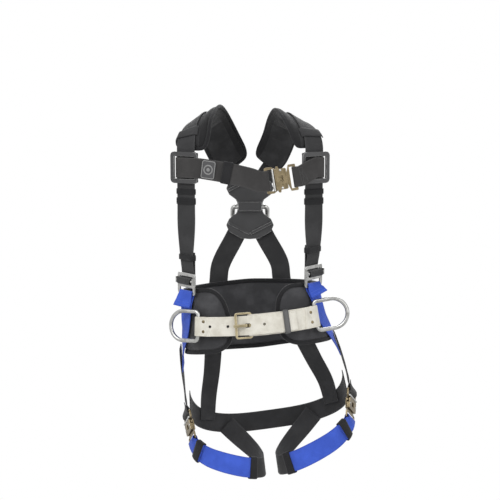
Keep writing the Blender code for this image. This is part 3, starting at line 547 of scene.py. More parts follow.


# The second colour is painted shade in the weave's recesses; the paler edge colour is partly wear and partly
# a painted highlight on the selvedges.
black_web = woven("black_webbing", "black_webbing", (0.050, 0.050, 0.052), (0.023, 0.023, 0.024),
                  (0.066, 0.066, 0.068))
black_thread = thread("black_thread", "black_webbing", (0.040, 0.040, 0.043))
wrap = [(70, -6.7, 0, -1), (40, -6.7, 0, -1), (8, -6.6, 0, -1), (3.6, -4.6, -0.6, -0.8)]
wrap += [(1.3, -1, -1, -0.1), (0.5, 2, -1, -0.1)]
wrap += bend(3.2, 6, 5.2, 195, 90, 5) + bend(6, 6, 5.2, 90, 0, 5)
wrap += [(11.7, 3, 1, 0), (12.1, 0, 1, 0.05), (12.8, -1.9, 0.9, 0.4), (14.6, -3.6, 0.4, 0.9)]
wrap += [(18.5, -3.9, 0, 1), (27, -3.6, 0, 1)]
adjusters, shoulder_runs = {}, {}
for side, word in SIDES:
    facing = strap_turned(WAIST_TURN, side)
    low, above = (knot(front_point(side, STRAP_LOW_Z + up), facing) for up in (0, 0.01))
    adjusters[word] = moved(frame_at(low[0], above[0] - low[0], low[1]), -ADJUSTER_DROP[side], 0, 0)
    route = [low] + [knot(front_point(side, z), strap_turned(CHEST_TURN, side)) for z in UP_CHEST]
    route += [knot((side * x, y, z), (side * nx, ny, nz)) for x, y, z, nx, ny, nz in OVER_SHOULDER]
    for reach in THROUGH_PLATE:
        x, z = side * sin(CROSS_ANGLE) * reach, DORSAL_Z + cos(CROSS_ANGLE) * reach
        route.append(knot((x, DORSAL_Y + CROSS_LAYER[side] * MM, z), (0, 1, 0)))
    run = shoulder_runs[word] = spline(route + round_form(side, DOWN_BEHIND), ROUTE_STEP)
    knots = in_frame(adjusters[word], wrap) + run
    rows = web(word + "_shoulder_webbing", knots, black_web, word + "_shoulder_strap")
    stitches(word + "_seat_tack", tack(rows, *SEAT_TACK), black_thread)
    over = [s for s, row in zip(reaches(rows), rows) if lies_over(row[0], SEAM_HEIGHTS)]
    sewn = [on_web(rows, [(over[0], a), (over[-1], a)]) for a in (-SEAM_ACROSS, SEAM_ACROSS)]
    stitches(word + "_pad_seams", sewn, black_thread, pitch=4.2 * MM)

# ------------------------------
# Shoulder pads. Foam in a dark knitted cover, bound all round with woven tape and stitched to the strap
# that lies on it. The cover swells between the seams; a plainer, darker panel runs along the neck edge.
PAD_WIDTH, PAD_THICK, NECK_PANEL = 78 * MM, 13 * MM, 17 * MM
PAD_HEIGHTS, PAD_STEP, PAD_SWELL = (0.393, 0.362), 6 * MM, 4 * MM
PAD_SHIFT_FRONT, PAD_SHIFT_BACK, PAD_UNDER = 9 * MM, 16 * MM, 1.7 * MM
PAD_END_WIDTH, PAD_ROUND, PAD_END_THICK, PAD_TAPER = 0.74, 26 * MM, 0.55, 14 * MM
PAD_RING = [
    (-1, 0.1), (-0.97, 0.5), (-0.88, 0.8), (-0.72, 0.95), (-0.52, 1), (-0.28, 1), (0, 1), (0.2, 1), (0.4, 1),
    (0.56, 0.86), (0.72, 1), (0.86, 0.85), (0.96, 0.5), (1, 0.1), (0.96, -0.5), (0.86, -0.9), (0.66, -1.12),
    (0.4, -1.2), (0, -1.22), (-0.4, -1.2), (-0.66, -1.12), (-0.86, -0.9), (-0.97, -0.5),
]
OUTER_EDGE, PANEL_SEAM, NECK_EDGE = 0, 9, 13
BINDING_STEP, BINDING_EASINGS, PAD_BINDING = 4 * MM, 6, (7 * MM, 7 * MM)
SWELL_STEPS, SWELL_PRESSURE = 20, 4.0


def knitted(name, slot, yarn, shade, panel, panel_from):
    """Knitted spacer cloth with small dimples, their recesses painted darker as shade; a darker panel lies
    beyond a distance across.
    """
    made, start = begin(name)
    across, along = cloth_chart(start)
    dimple = (across + along).wave(2.6 * MM) * (across - along).wave(2.6 * MM)
    place = start.place()
    worn, fuzz = start.noise(place, 34.0, 4.0), start.noise(place, 1100.0, 1.0)
    # Painted shade: the dimples' recesses take the darker colour, the raised knit the paler one, with fine
    # fuzz mixed in.
    colour = (dimple * 0.7 + fuzz * 0.3).mix(shade, yarn)
    colour = (worn.ramp(0.4, 0.75) * 0.35).mix(colour, scaled(yarn, 1.7))
    colour = (across.ramp(panel_from - 0.3 * MM, panel_from + 0.3 * MM) * 0.85).mix(colour, panel)
    close(start, colour, 0.8 + fuzz * 0.12, dimple + fuzz * 0.4, 0.4 * MM, sheen=0.15, spec=0.2)
    return made, slot


def swell(made, held, most):
    """Blows a cover up over its foam by cloth simulation, held points fast, none moving more than most."""
    before = [v.co.copy() for v in made.data.vertices]
    group = made.vertex_groups.new(name="sewn")
    group.add(sorted(set(held)), 1.0, "REPLACE")
    cloth = made.modifiers.new("cover", "CLOTH")
    cloth.settings.vertex_group_mass = "sewn"
    cloth.settings.use_pressure = True
    cloth.settings.uniform_pressure_force = SWELL_PRESSURE
    cloth.settings.effector_weights.gravity = 0
    for step in range(1, SWELL_STEPS + 1):
        scene.frame_set(step)
    after = made.evaluated_get(bpy.context.evaluated_depsgraph_get()).data
    moves = [v.co - old for v, old in zip(after.vertices, before)]
    made.modifiers.remove(cloth)
    made.vertex_groups.remove(group)
    scene.frame_set(1)
    for v, old, move in zip(made.data.vertices, before, moves):
        v.co = old + move * min(1.0, most / max(move.length, 1e-9))


def stuffed(cover, held, most):
    """Turns a plain cover into a foam pad."""
    swell(cover, held, most)
    cover.modifiers.new("smooth", "SUBSURF").render_levels = 1


def bound(name, knots, deep, thick):
    """Binding tape folded over a closed edge, so deep and so thick, and eased round its corners."""
    path = []
    for (a, first), (b, last) in zip(knots, knots[1:] + knots[:1]):
        count = max(1, round((b - a).length / BINDING_STEP))
        path += [(a.lerp(b, i / count), first.lerp(last, i / count).normalized()) for i in range(count)]
    for _ in range(BINDING_EASINGS):
        near = zip(path[-1:] + path, path, path[1:] + path[:1])
        path = [((before[0] + point * 2 + after[0]) / 4, facing) for before, (point, facing), after in near]
    rows = axes([path[-1], *path, path[0]])[1:-1]
    half = thick / 2
    ring = [(1.2 * MM, 0), (1.0 * MM, 0.55 * half), (0, 0.92 * half)]
    ring += [(-0.45 * deep, half), (-0.9 * deep, half), (-deep, 0.6 * half)]
    ring += [(a, -b) for a, b in ring[:0:-1]]
    piece(name, loft(rows, [ring] * len(rows), True), binding)


def pad_shift(share):
    """How far a pad's middle lies from its strap towards the neck."""
    return PAD_SHIFT_FRONT * (1 - share) + PAD_SHIFT_BACK * share


# The second colour is painted shade in the dimples' recesses.
pad_cloth = knitted("pad_fabric", "pad_fabric", (0.042, 0.042, 0.044), (0.018, 0.018, 0.019),
                    (0.014, 0.014, 0.015), PAD_WIDTH / 2 - NECK_PANEL)
# The second colour is painted shade in the weave's recesses.
binding = woven("black_binding", "pad_fabric", (0.022, 0.022, 0.024), (0.009, 0.009, 0.010),
                (0.030, 0.030, 0.032), 0.9 * MM, 0.03)
pad_thread = black_thread[0], "pad_fabric"
for side, word in SIDES:
    run = shoulder_runs[word]
    over = [k for k in run if lies_over(k[0], PAD_HEIGHTS)]
    first = run.index(over[0])
    middle = []
    for i, (point, facing) in enumerate(over):
        along = (run[first + i + 1][0] - run[first + i - 1][0]).normalized()
        facing = (facing - along * facing.dot(along)).normalized()
        neck = along.cross(facing) * -side
        under = PAD_THICK / 2 + WEB_THICK / 2 + PAD_UNDER
        middle.append((point + neck * pad_shift(i / (len(over) - 1)) - facing * under, facing))
    rows = [(p, across * -side, facing) for p, across, facing in axes(spline(middle, PAD_STEP))]
    whole = reaches(rows)[-1]
    size = len(PAD_RING)
    rings, held = [], []
    for k, reach in enumerate(reaches(rows)):
        end = min(reach, whole - reach)
        w = PAD_WIDTH / 2 * (PAD_END_WIDTH + (1 - PAD_END_WIDTH) * min(1.0, end / PAD_ROUND) ** 0.5)
        t = PAD_THICK / 2 * (PAD_END_THICK + (1 - PAD_END_THICK) * min(1.0, end / PAD_TAPER))
        rings.append([(a * w, b * t) for a, b in PAD_RING])
        strap = -pad_shift(reach / whole)
        under = [i for i in range(1, NECK_EDGE) if abs(rings[k][i][0] - strap) < WEB_WIDTH / 2 + 2 * MM]
        last = k in (0, len(rows) - 1)
        held += [k * size + i for i in (range(size) if last else [OUTER_EDGE, PANEL_SEAM, NECK_EDGE] + under)]
    cover = piece(word + "_shoulder_cushion", loft(rows, rings), pad_cloth, word + "_shoulder_pad")
    stuffed(cover, held, PAD_SWELL)

    ringed = list(zip(rows, rings))
    outer, neck = ([(p + a * ring[i][0], f) for (p, a, f), ring in ringed] for i in (OUTER_EDGE, NECK_EDGE))
    bound(word + "_shoulder_binding", outer + neck[::-1], *PAD_BINDING)
    seam = [(p + a * ring[PANEL_SEAM][0] + f * ring[PANEL_SEAM][1], f) for (p, a, f), ring in ringed]
    stitches(word + "_neck_seam", [seam[2:-2]], pad_thread, pitch=4.6 * MM)

# ------------------------------
# Pad bands. A short webbing strip sewn down on the front of each pad, bridging the strap so that the pad
# can be slid along it.
BAND_LOW, BAND_HIGH, BAND_WALL, BAND_SEAM = 0.408, 0.438, 1.7 * MM, 3.6 * MM
BAND_FEET, BAND_TOP = ((5.0, -1.1), (3.0, -0.9), (1.8, 0.8), (0.6, 2.2), (-2, 2.7)), 2.8 * MM
LIP = 0.78


def band(rows, outline, wall, closed):
    """A strip of one wall over an outline of (across, out) points, carried along rows of axes."""
    count, last = len(outline), len(rows) - 1
    spots = []
    for i, (a, b) in enumerate(outline):
        before = outline[i - 1] if closed or i else outline[i]
        after = outline[(i + 1) % count] if closed or i < count - 1 else outline[i]
        way = Vector((after[0] - before[0], after[1] - before[1])).normalized()
        spots.append((Vector((a, b)), Vector((way.y, -way.x))))
    turned = sum(a.x * b.y - a.y * b.x for (a, _), (b, _) in zip(spots, spots[1:]))
    out = wall if turned > 0 else -wall
    along = reaches(rows)
    lips = [(k, LIP if k in (0, last) else 1.0) for k in range(last + 1)]
    lips += [(k, 1.0 - high) for k, high in lips[::-1]]
    loops, charts = [], []
    walk = 0.0
    for i, (spot, normal) in enumerate(spots):
        walk += (spot - spots[i - 1][0]).length if i else 0.0
        loops.append([])
        charts.append([])
        for k, high in lips:
            place = spot + normal * (out * high)
            point, across, facing = rows[k]
            loops[i].append(point + across * place.x + facing * place.y)
            charts[i].append((along[k] - along[-1] / 2, walk))
    return skin(loops, charts, closed)


w = WEB_WIDTH / 2
arch = [(w + a * MM, b * MM) for a, b in BAND_FEET] + [(0.5 * w, BAND_TOP), (0, BAND_TOP)]
arch += [(-a, b) for a, b in arch[-2::-1]]
for side, word in SIDES:
    spots = [k for k in shoulder_runs[word] if BAND_LOW < k[0].z < BAND_HIGH and k[0].y < 0]
    rows = axes(spline(spots, WEB_STEP))
    piece(word + "_pad_strip", band(rows, arch, BAND_WALL, False), black_web, word + "_pad_band")
    sewn = [[(p + a * (e * (w + BAND_SEAM)) + f * (0.9 * MM), f) for p, a, f in rows] for e in (1, -1)]
    stitches(word + "_pad_strip_seams", sewn, black_thread, pitch=3.4 * MM)

# ------------------------------
# Torso adjusters. Pressed steel frames, bright plated, with a knurled sliding bar that grips the strap
# doubled over it. An elastic loop holds the strap's spare end behind each.
LOOP_WALL, LOOP_ROOM = 1.4 * MM, 1.2 * MM
TORSO_BAR, TORSO_TIPS = (6, 0, 6), [(28, 2.2), (27.4, 3.2)]
TORSO_GRIP, TORSO_KNURL = (26.5, 3.5, 44), (24, 0.03)
SPARE_LOOP, SPARE_LOOP_OUT, SPARE_LOOP_DEPTH = (52, 55, 58, 61, 64), -2.4, 12.5 * MM
SHARP_ANGLE, CORNER_ANGLE, CREASE = radians(28), radians(140), 40


def roomy(edge, reach):
    """Whether both faces beside an edge run on for a reach before their next edge."""
    for loop in edge.link_loops:
        a, b = loop.vert.co, loop.link_loop_next.vert.co
        inward = loop.face.normal.cross(b - a).normalized()
        for c, d in ([v.co for v in other.verts] for other in loop.face.edges if other != edge):
            for share in (0.1, 0.5, 0.9):
                spot = a.lerp(b, share)
                along = intersect_point_line(spot, c, d)[1]
                gap = c.lerp(d, min(1.0, max(0.0, along))) - spot
                if gap.length < reach and gap.dot(inward) > 0.6 * gap.length:
                    return False
    return True


def cramped(edge, chosen, size):
    """Whether an edge is too short to be broken together with its chosen neighbours."""
    need = 0.0
    for vert in edge.verts:
        way = edge.other_vert(vert).co - vert.co
        corner = 0.0
        for near in vert.link_edges:
            if near not in chosen and near.calc_length() < 1.3 * size:
                return True
            turn = way.angle(near.other_vert(vert).co - vert.co)
            if near in chosen and near != edge and turn < CORNER_ANGLE:
                corner = 1.2 * size
        need += corner
    return edge.calc_length() < need


def softened(name, node, finish, size, clamp=False):
    """A solid of the frame with its outer edges broken where there is room, standing for that solid."""
    bm = bmesh.new()
    bm.from_mesh(frame["nodes"][node].data)
    bmesh.ops.remove_doubles(bm, verts=bm.verts, dist=0.01 * MM)
    bmesh.ops.dissolve_limit(bm, angle_limit=radians(1), verts=bm.verts, edges=bm.edges)
    sharp = [e for e in bm.edges if e.is_convex and e.calc_face_angle(0) > SHARP_ANGLE]
    sharp = [e for e in sharp if roomy(e, 2.2 * size)]
    count = 0
    while count != len(sharp):
        count, chosen = len(sharp), set(sharp)
        sharp = [e for e in sharp if not cramped(e, chosen, size)]
    broken = bmesh.ops.bevel(bm, geom=sharp, offset=size, segments=2, profile=0.5, affect="EDGES",
                             clamp_overlap=clamp)
    # Marks the broken edges' faces, which the finishes paint paler: partly wear and partly a painted
    # highlight.
    worn = bm.loops.layers.float.new("worn")
    for face in broken["faces"]:
        for loop in face.loops:
            loop[worn] = 1.0
    made = piece(name, bm, finish, node, crease=CREASE)
    made.modifiers.new("even", "WEIGHTED_NORMAL").keep_sharp = True


def plated(name, slot, bright, dull, rough, tarnish):
    """Plated steel: fine brushing, cloudy plating with a few dull stains, and broken edges made paler, partly
    worn bright and partly a painted highlight.
    """
    made, start = begin(name)
    place = start.place()
    cloud = start.noise(place, 60.0, 4.0)
    brush = start.noise(start.node("Mapping", {}, {"Vector": place, "Scale": (1.0, 1.0, 14.0)}), 260.0, 2.0)
    stain = start.noise(place, 170.0, 3.0).ramp(0.55, 0.75)
    # Painted highlight on the broken edges, partly wear: their faces take a paler, brighter colour.
    rubbed_and_highlit = start.node("Attribute", {"attribute_name": "worn"}, {}, "Fac") * (brush * 0.6 + 0.5)
    colour = cloud.ramp(0.3, 0.75).mix(bright, dull)
    colour = (stain * 0.45).mix(colour, tarnish)
    colour = (rubbed_and_highlit * 0.8).mix(colour, [min(1.0, c * 1.3 + 0.06) for c in bright])
    rough = cloud * 0.12 + brush * 0.14 + (rough - 0.12)
    close(start, colour, rough, brush * 0.5 + cloud * 0.5, 0.06 * MM, metal=1.0)
    return made, slot


def knurled_bar(name, place, tips, grip, sides, knurl, node=None, body="harness"):
    """A knurled bar on the second axis: tips of (distance, radius), a grip of (distance, radius, ridges)."""
    reach, radius, ridges = grip
    profile = [(-y, r) for y, r in tips]
    profile += [(-reach + 2 * reach * k / ridges, radius) for k in range(ridges + 1)] + tips[::-1]
    loops = []
    for k, (y, radius) in enumerate(profile):
        loops.append([])
        for i in range(sides):
            angle = 2 * pi * i / sides
            r = radius * (1 + knurl * (1 if (i + k) % 2 else -1)) if 1 < k < len(profile) - 2 else radius
            loops[k].append(place @ Vector((r * cos(angle) * MM, y * MM, r * sin(angle) * MM)))
    bm = bmesh.new()
    shell(bm, loops)
    piece(name, bm, steel, node, body, crease=CREASE)


def arc(x, y, radius, first, last, count):
    """Points round (x, y) from the first to the last angle."""
    turns = [radians(first + (last - first) * i / count) for i in range(count + 1)]
    return [(x + radius * cos(a), y + radius * sin(a)) for a in turns]


def rounded_box(width, depth, radius):
    """Outline of a box of (across, out) points with round corners."""
    x, y = width / 2 - radius, depth / 2 - radius
    middles = ((x, y, 0), (-x, y, 90), (-x, -y, 180), (x, -y, 270))
    return [point for a, b, first in middles for point in arc(a, b, radius, first, first + 90, 4)]


def elastic_loop(name, rows, inside, depth, finish, node, wall=1.5 * MM):
    """A flat closed loop round what runs through the rows, with a few points on its long sides."""
    outline = rounded_box(inside, depth, min(depth * 0.45, 3.0 * MM))
    filled = []
    for spot, after in zip(outline, outline[1:] + outline[:1]):
        filled.append(spot)
        if abs(after[0] - spot[0]) > 10 * MM:
            filled += [(spot[0] + (after[0] - spot[0]) * n / 6, spot[1]) for n in range(1, 6)]
    piece(name, band(rows, filled, wall, True), finish, node)


steel = plated("bright_steel", "bright_steel", (0.48, 0.48, 0.47), (0.30, 0.30, 0.29), 0.28,
               (0.08, 0.072, 0.065))
# The second colour is painted shade in the weave's recesses.
elastic = woven("black_elastic", "black_elastic", (0.024, 0.024, 0.026), (0.008, 0.008, 0.009),
                (0.034, 0.034, 0.036), 1.1 * MM, 0.05)
for word, adjuster in adjusters.items():
    softened(word + "_torso_frame", word + "_adjuster_frame", steel, 0.8 * MM)
    knurled_bar(word + "_knurled_bar", moved(adjuster, *TORSO_BAR), TORSO_TIPS, TORSO_GRIP, *TORSO_KNURL,
                word + "_adjuster_bar")
    spots = axes(in_frame(adjuster, [(along, SPARE_LOOP_OUT, 0, 1) for along in SPARE_LOOP]))
    elastic_loop(word + "_spare_end_loop", spots, WEB_WIDTH + LOOP_ROOM, SPARE_LOOP_DEPTH, elastic,
                 word + "_tail_keeper", LOOP_WALL)

# ------------------------------
# Chest sliders. Moulded black nylon frames that ride up and down the shoulder straps and carry the chest
# strap on an inner bar, each with two elastic loops below it on the strap.
CHEST_STRAPS_Z = 0.349
SLIDER_LOOPS = (("_upper_", 0.290, 0.302), ("_mid_", 0.268, 0.282))


def moulded(name, slot, base, worn):
    """Satin moulded nylon: a fine spark texture, faint flow marks, and pale patches on the broken edges,
    partly wear and partly a painted highlight.
    """
    made, start = begin(name)
    place = start.place()
    grain, flow = start.noise(place, 1500.0, 2.0), start.noise(place, 22.0, 3.0)
    edge = start.node("Attribute", {"attribute_name": "worn"}, {}, "Fac")
    # Pale patches on the broken edges: partly wear, partly a painted highlight.
    scuff_and_highlight = edge * start.noise(place, 120.0, 3.0).ramp(0.25, 0.55)
    colour = flow.mix(scaled(base, 0.8), scaled(base, 1.3))
    colour = (scuff_and_highlight * 0.8).mix(colour, worn)
    close(start, colour, grain * 0.14 + flow * 0.1 + 0.3, grain, 0.12 * MM)
    return made, slot


# The last colour is the pale of the broken edges: partly wear, partly a painted highlight.
nylon = moulded("moulded_black", "moulded_black", (0.042, 0.042, 0.044), (0.40, 0.40, 0.40))
sliders = {}
for side, word in SIDES:
    facing = strap_turned(CHEST_TURN, side)
    sliders[word] = stance_frame(front_point(side, CHEST_STRAPS_Z), (0, STRAP_RISE_Y, 1), facing)
    softened(word + "_chest_frame", word + "_chest_slider", nylon, 0.6 * MM)
    for level, low, high in SLIDER_LOOPS:
        spots = axes([knot(front_point(side, low + (high - low) * i / 4), facing) for i in range(5)])
        elastic_loop(word + level + "loop", spots, WEB_WIDTH + LOOP_ROOM, WEB_THICK + 1 * MM, elastic,
                     word + level + "keeper", LOOP_WALL)

# ------------------------------
# Dorsal plate and D-ring. A moulded plate between the shoulder blades holds the crossing straps and the
# forged steel ring that takes a fall-arrest line.
RING_CORNER = 9
DORSAL_RING, DORSAL_REST, DORSAL_INSET = (83, 68, 5.2), radians(42), 5.6 * MM


def forged_ring(name, place, height, depth, radius, node):
    """A forged D: its straight bar lies on the second axis, its bow reaches along the first. Millimetres."""
    half, corner = height / 2, RING_CORNER
    points = [(0, -half + corner + (height - 2 * corner) * i / 8) for i in range(9)]
    points += arc(corner, half - corner, corner, 180, 90, 6)[1:-1]
    points += arc(depth - half, 0, half, 90, -90, 32)
    points += arc(corner, corner - half, corner, -90, -180, 6)[1:-1]
    rows = []
    turn = place.to_3x3()
    for (x, y), a, b in zip(points, points[-1:] + points, points[1:] + points[:1]):
        way = Vector((b[0] - a[0], b[1] - a[1], 0)).normalized()
        out = turn @ Vector((way.y, -way.x, 0))
        rows.append((place @ (Vector((x, y, 0)) * MM), out, turn @ Vector((0, 0, 1))))
    ring = arc(0, 0, radius * MM / cos(pi / 8), 0, 360, 20)[:-1]
    piece(name, loft(rows, [ring] * len(rows), True), steel, node)


softened("dorsal_moulding", "dorsal_plate", nylon, 0.8 * MM)
hangs = Vector((0, sin(DORSAL_REST), -cos(DORSAL_REST)))
place = frame_at(Vector((0, DORSAL_Y - DORSAL_INSET, DORSAL_Z)), hangs, Vector((0, -hangs.z, hangs.y)))
forged_ring("dorsal_ring_forging", place, *DORSAL_RING, "dorsal_d_ring")

# ------------------------------
# Chest strap. Grey-black webbing in two lengths: the long one runs from the right slider to the buckle's
# web bar and back under an elastic loop, the short one joins the buckle's tab to the left slider.
FOLD_LAYER, FOLD_REACH = 3.4 * MM, 22 * MM
CHEST_BUCKLE, CHEST_BUCKLE_RISE = (0.068, -0.150, 0.321), radians(9)
CHEST_LOW, CHEST_HIGH = (0.000, -0.156, 0.3225), (-0.050, -0.154, 0.3340)
CHEST_STEP, LOOP_STEP = 12 * MM, 4 * MM
CHEST_TAIL_X, CHEST_HEM, TAB_REACH = -0.052, 6 * MM, 0.040
CHEST_HOLD = ("chest_strap", "chest_housing", Vector((-0.050, -0.154, 0.334)), Vector((0.030, -0.155, 0.317)))
WEB_BAR, WEB_BAR_BEND, SLIDER_BAR_BEND = 32, 4.9, 3.2
SLIDER_BAR, SLIDER_BAR_OUT = 18 * MM, 6 * MM


def folded(path, place, bar, radius, last, tail):
    """Knots of a strap folded round a bar: its tail lies outside the path, its run inside."""
    outer, inner = [], []
    for reach, (point, facing) in zip(reaches(path), path):
        near = max(0.0, 1 - reach / FOLD_REACH)
        part = FOLD_LAYER / 2 + (radius * MM - FOLD_LAYER / 2) * near * near * (3 - 2 * near)
        outer.append((point + facing * part, facing))
        inner.append((point - facing * part, -facing))
    return outer[tail:0:-1] + in_frame(place, bend(bar, 0, radius, 90, last)) + inner[1:]


def slider_side(word, side):
    """Axes at the web bar of a slider, the first away from the middle of the chest."""
    turn = sliders[word].to_3x3()
    bar = sliders[word] @ Vector((0, -side * SLIDER_BAR, SLIDER_BAR_OUT))
    return frame_at(bar, turn @ Vector((0, -side, 0)), turn @ Vector((0, 0, 1)))


# The second colour is painted shade in the weave's recesses; the paler edge colour is partly wear and partly
# a painted highlight on the selvedges.
chest_web = woven("chest_webbing", "black_webbing", (0.058, 0.056, 0.056), (0.027, 0.026, 0.026),
                  (0.078, 0.076, 0.076))
grey_thread = thread("grey_thread", "black_webbing", (0.075, 0.075, 0.078))
along = Vector((cos(CHEST_BUCKLE_RISE), 0.10, sin(CHEST_BUCKLE_RISE)))
chest = frame_at(Vector(CHEST_BUCKLE), along, Vector((0.10, -1, 0)))
right_bar, left_bar = slider_side("right", -1), slider_side("left", 1)
path = in_frame(chest, [(-32, 0, 0, 1), (-44, 0, 0, 1)])
path += [(Vector(CHEST_LOW), Vector((0, -1, 0))), (Vector(CHEST_HIGH), Vector((-0.2, -1, 0)))]
path += in_frame(right_bar, [(-58, 4.8, 0, 1), (-44, 4.6, 0, 1)])
chest_path = spline(path, CHEST_STEP)
tail = max(i for i, (point, _) in enumerate(chest_path) if point.x > CHEST_TAIL_X)
catch = [(-18, 3.2, 0, -1)] + bend(0, 0, SLIDER_BAR_BEND, 90, -90, 6, -1)
catch += [(-12, -3.2, 0, 1), (-28, -3.2, 0, 1)]
knots = folded(chest_path, chest, -WEB_BAR, WEB_BAR_BEND, -90, tail) + in_frame(right_bar, catch)
rows = web("long_chest_webbing", knots, chest_web, "chest_strap_long", CHEST_HOLD)
hem = on_web(rows, [(CHEST_HEM, -SEWN_HALF), (CHEST_HEM, SEWN_HALF)])
stitches("chest_tail_hem", [hem], grey_thread, hold=CHEST_HOLD)
spots = axes(spline(chest_path[tail - 1:tail + 2], LOOP_STEP))
elastic_loop("chest_tail_loop", spots, WEB_WIDTH + 1.4 * MM, 6.2 * MM, elastic, "chest_tail_keeper")

near_tab = [(45, -4.2, 0, -1)] + bend(WEB_BAR, 0, WEB_BAR_BEND, 270, 90) + [(44, 4.6, 0, 1)]
over = [(-20, 3.3, 0, 1)] + bend(0, 0, SLIDER_BAR_BEND, 90, -90) + [(-12, -3.2, 0, -1), (-26, -3.2, 0, -1)]
knots = in_frame(chest, near_tab) + in_frame(left_bar, over)
rows = web("short_chest_webbing", knots, chest_web, "chest_strap_short")
past_tab = CHEST_BUCKLE[0] + TAB_REACH
sewn = next(s / MM for s, row in zip(reaches(rows), rows) if row[2].y < -0.6 and row[0].x > past_tab)
stitches("short_chest_tack", tack(rows, sewn + 2, sewn + 16), grey_thread, body="chest_strap")

# ------------------------------
# Badge. A dark grey plastic plate clipped on the chest strap, moulded with a pale raised border, a plain ring
# and a round boss.
BADGE_X, BADGE_SIZE, BADGE_CORNER, BADGE_CREASE = -0.092, (32, 40), 5, 50
PLATE_STEPS = [(0, -0.4), (0, 1.3), (0.4, 1.6), (2, 1.6)]
BORDER_STEPS = [(0.3, 1.5), (0.3, 2.1), (0.6, 2.4), (2.0, 2.4), (2.3, 2.1), (2.3, 1.5)]
RING_RADIUS, RING_STEPS = 11, [(0, 1.5), (0, 2.1), (0.3, 2.4), (2.6, 2.4), (2.9, 2.1), (2.9, 1.5)]
BOSS_RADIUS, BOSS_STEPS = 4, [(0, 1.5), (0, 2.1), (0.6, 2.5), (2, 2.6)]


def plate_steps(bm, place, outline, steps, open_middle=False):
    """A plate of (inset, height) loops of one outline in millimetres, filled or with an open middle."""
    loops = []
    for inset, height in steps:
        loops.append([])
        for (x, y), a, b in zip(outline, outline[-1:] + outline, outline[1:] + outline[:1]):
            way = (Vector(b) - Vector(a)).normalized()
            corner = ((x - way.y * inset) * MM, (y + way.x * inset) * MM, height * MM)
            loops[-1].append(place @ Vector(corner))
    shell(bm, loops, open_middle)


def soft_plastic(name, slot, base, dark):
    """Satin grey plastic, lightly grained and handled, with painted shade darkening its recesses."""
    made, start = begin(name)
    place = start.place()
    grain, handled = start.noise(place, 1300.0, 2.0), start.noise(place, 90.0, 4.0)
    # Painted shade: the recesses, found by the mesh's pointiness, take the dark colour.
    hollow_shade = 1 - start.node("NewGeometry", {}, {}, "Pointiness").ramp(0.40, 0.49)
    colour = (handled.ramp(0.35, 0.7) * 0.4).mix(base, scaled(base, 0.82))
    colour = (hollow_shade * 0.75).mix(colour, dark)
    close(start, colour, grain * 0.15 + handled * 0.15 + 0.32, grain, 0.1 * MM)
    return made, slot


# The second colour of each is the painted shade in its recesses.
badge_dark = soft_plastic("badge_dark", "badge_grey", (0.060, 0.060, 0.063), (0.030, 0.030, 0.030))
badge_pale = soft_plastic("badge_pale", "badge_grey", (0.24, 0.24, 0.24), (0.10, 0.10, 0.10))
spot = min(range(len(chest_path)), key=lambda i: abs(chest_path[i][0].x - BADGE_X))
badge = frame_at(chest_path[spot][0], chest_path[spot - 1][0] - chest_path[spot + 1][0], chest_path[spot][1])
badge = moved(badge, 0, 0, 0.1)
outline = rounded_box(*BADGE_SIZE, BADGE_CORNER)
bm = bmesh.new()
plate_steps(bm, badge, outline, PLATE_STEPS)
piece("chest_plate", bm, badge_dark, "chest_badge", crease=BADGE_CREASE)
bm = bmesh.new()
plate_steps(bm, badge, outline, BORDER_STEPS, True)
plate_steps(bm, badge, arc(0, 0, RING_RADIUS, 0, 360, 32)[:-1], RING_STEPS, True)
plate_steps(bm, badge, arc(0, 0, BOSS_RADIUS, 0, 360, 32)[:-1], BOSS_STEPS)
piece("chest_plate_relief", bm, badge_pale, body="chest_strap", crease=BADGE_CREASE)

# ------------------------------
# Quick-connect buckles. Yellow zinc plated steel: a housing with its web bar, a flat tab that pushes in and
# two rocking levers pinched to let go. A bright ribbed bar on the housing grips the web, and rivets are the
# pivots.
DOME = ((1.0, -0.3), (1.0, 0.25), (0.93, 0.55), (0.72, 0.85), (0.38, 0.98), (0.12, 1.0))
BUCKLE_EDGES = (("housing", 0.7), ("tab", 0.5), ("upper_lever", 0.45), ("lower_lever", 0.45))
PIVOT_Y, PIVOT_FACE, PIVOT_RIVET = 19.4, 5.4, (2.7, 1.1)
GRIP_PLACE, GRIP_TIPS, GRIP, GRIP_KNURL = (-17.5, 0, 4), [(25, 1.2), (24.6, 2.1)], (24, 2.4, 40), (18, 0.035)


def domes(name, places, radius, height, finish, body="harness"):
    """Round rivet heads, each on the plane of its axes."""
    bm = bmesh.new()
    for place in places:
        rounds = [(arc(0, 0, radius * r, 0, 360, 16)[:-1], height * h) for r, h in DOME]
        shell(bm, [[place @ (Vector((x, y, z)) * MM) for x, y in points] for points, z in rounds])
    piece(name, bm, finish, body=body)


def quick_buckle(word, place):
    """Dresses the four solids of one buckle and adds its gripping bar and pivot rivets."""
    for part, edge in BUCKLE_EDGES:
        softened(f"{word}_quick_{part}", f"{word}_buckle_{part}", zinc, edge * MM, edge < 0.5)
    carried = home[word + "_buckle_housing"]
    knurled_bar(word + "_grip_bar", moved(place, *GRIP_PLACE), GRIP_TIPS, GRIP, *GRIP_KNURL, body=carried)
    heads = [moved(place, 0, y, PIVOT_FACE) for y in (PIVOT_Y, -PIVOT_Y)]
    heads += [moved(place, 0, y, -PIVOT_FACE) @ Matrix.Rotation(pi, 4, "X") for y in (PIVOT_Y, -PIVOT_Y)]
    domes(word + "_pivot_rivets", heads, *PIVOT_RIVET, steel, carried)


zinc = plated("yellow_zinc", "yellow_zinc", (0.225, 0.180, 0.108), (0.115, 0.092, 0.055), 0.34,
              (0.030, 0.023, 0.012))
quick_buckle("chest", chest)

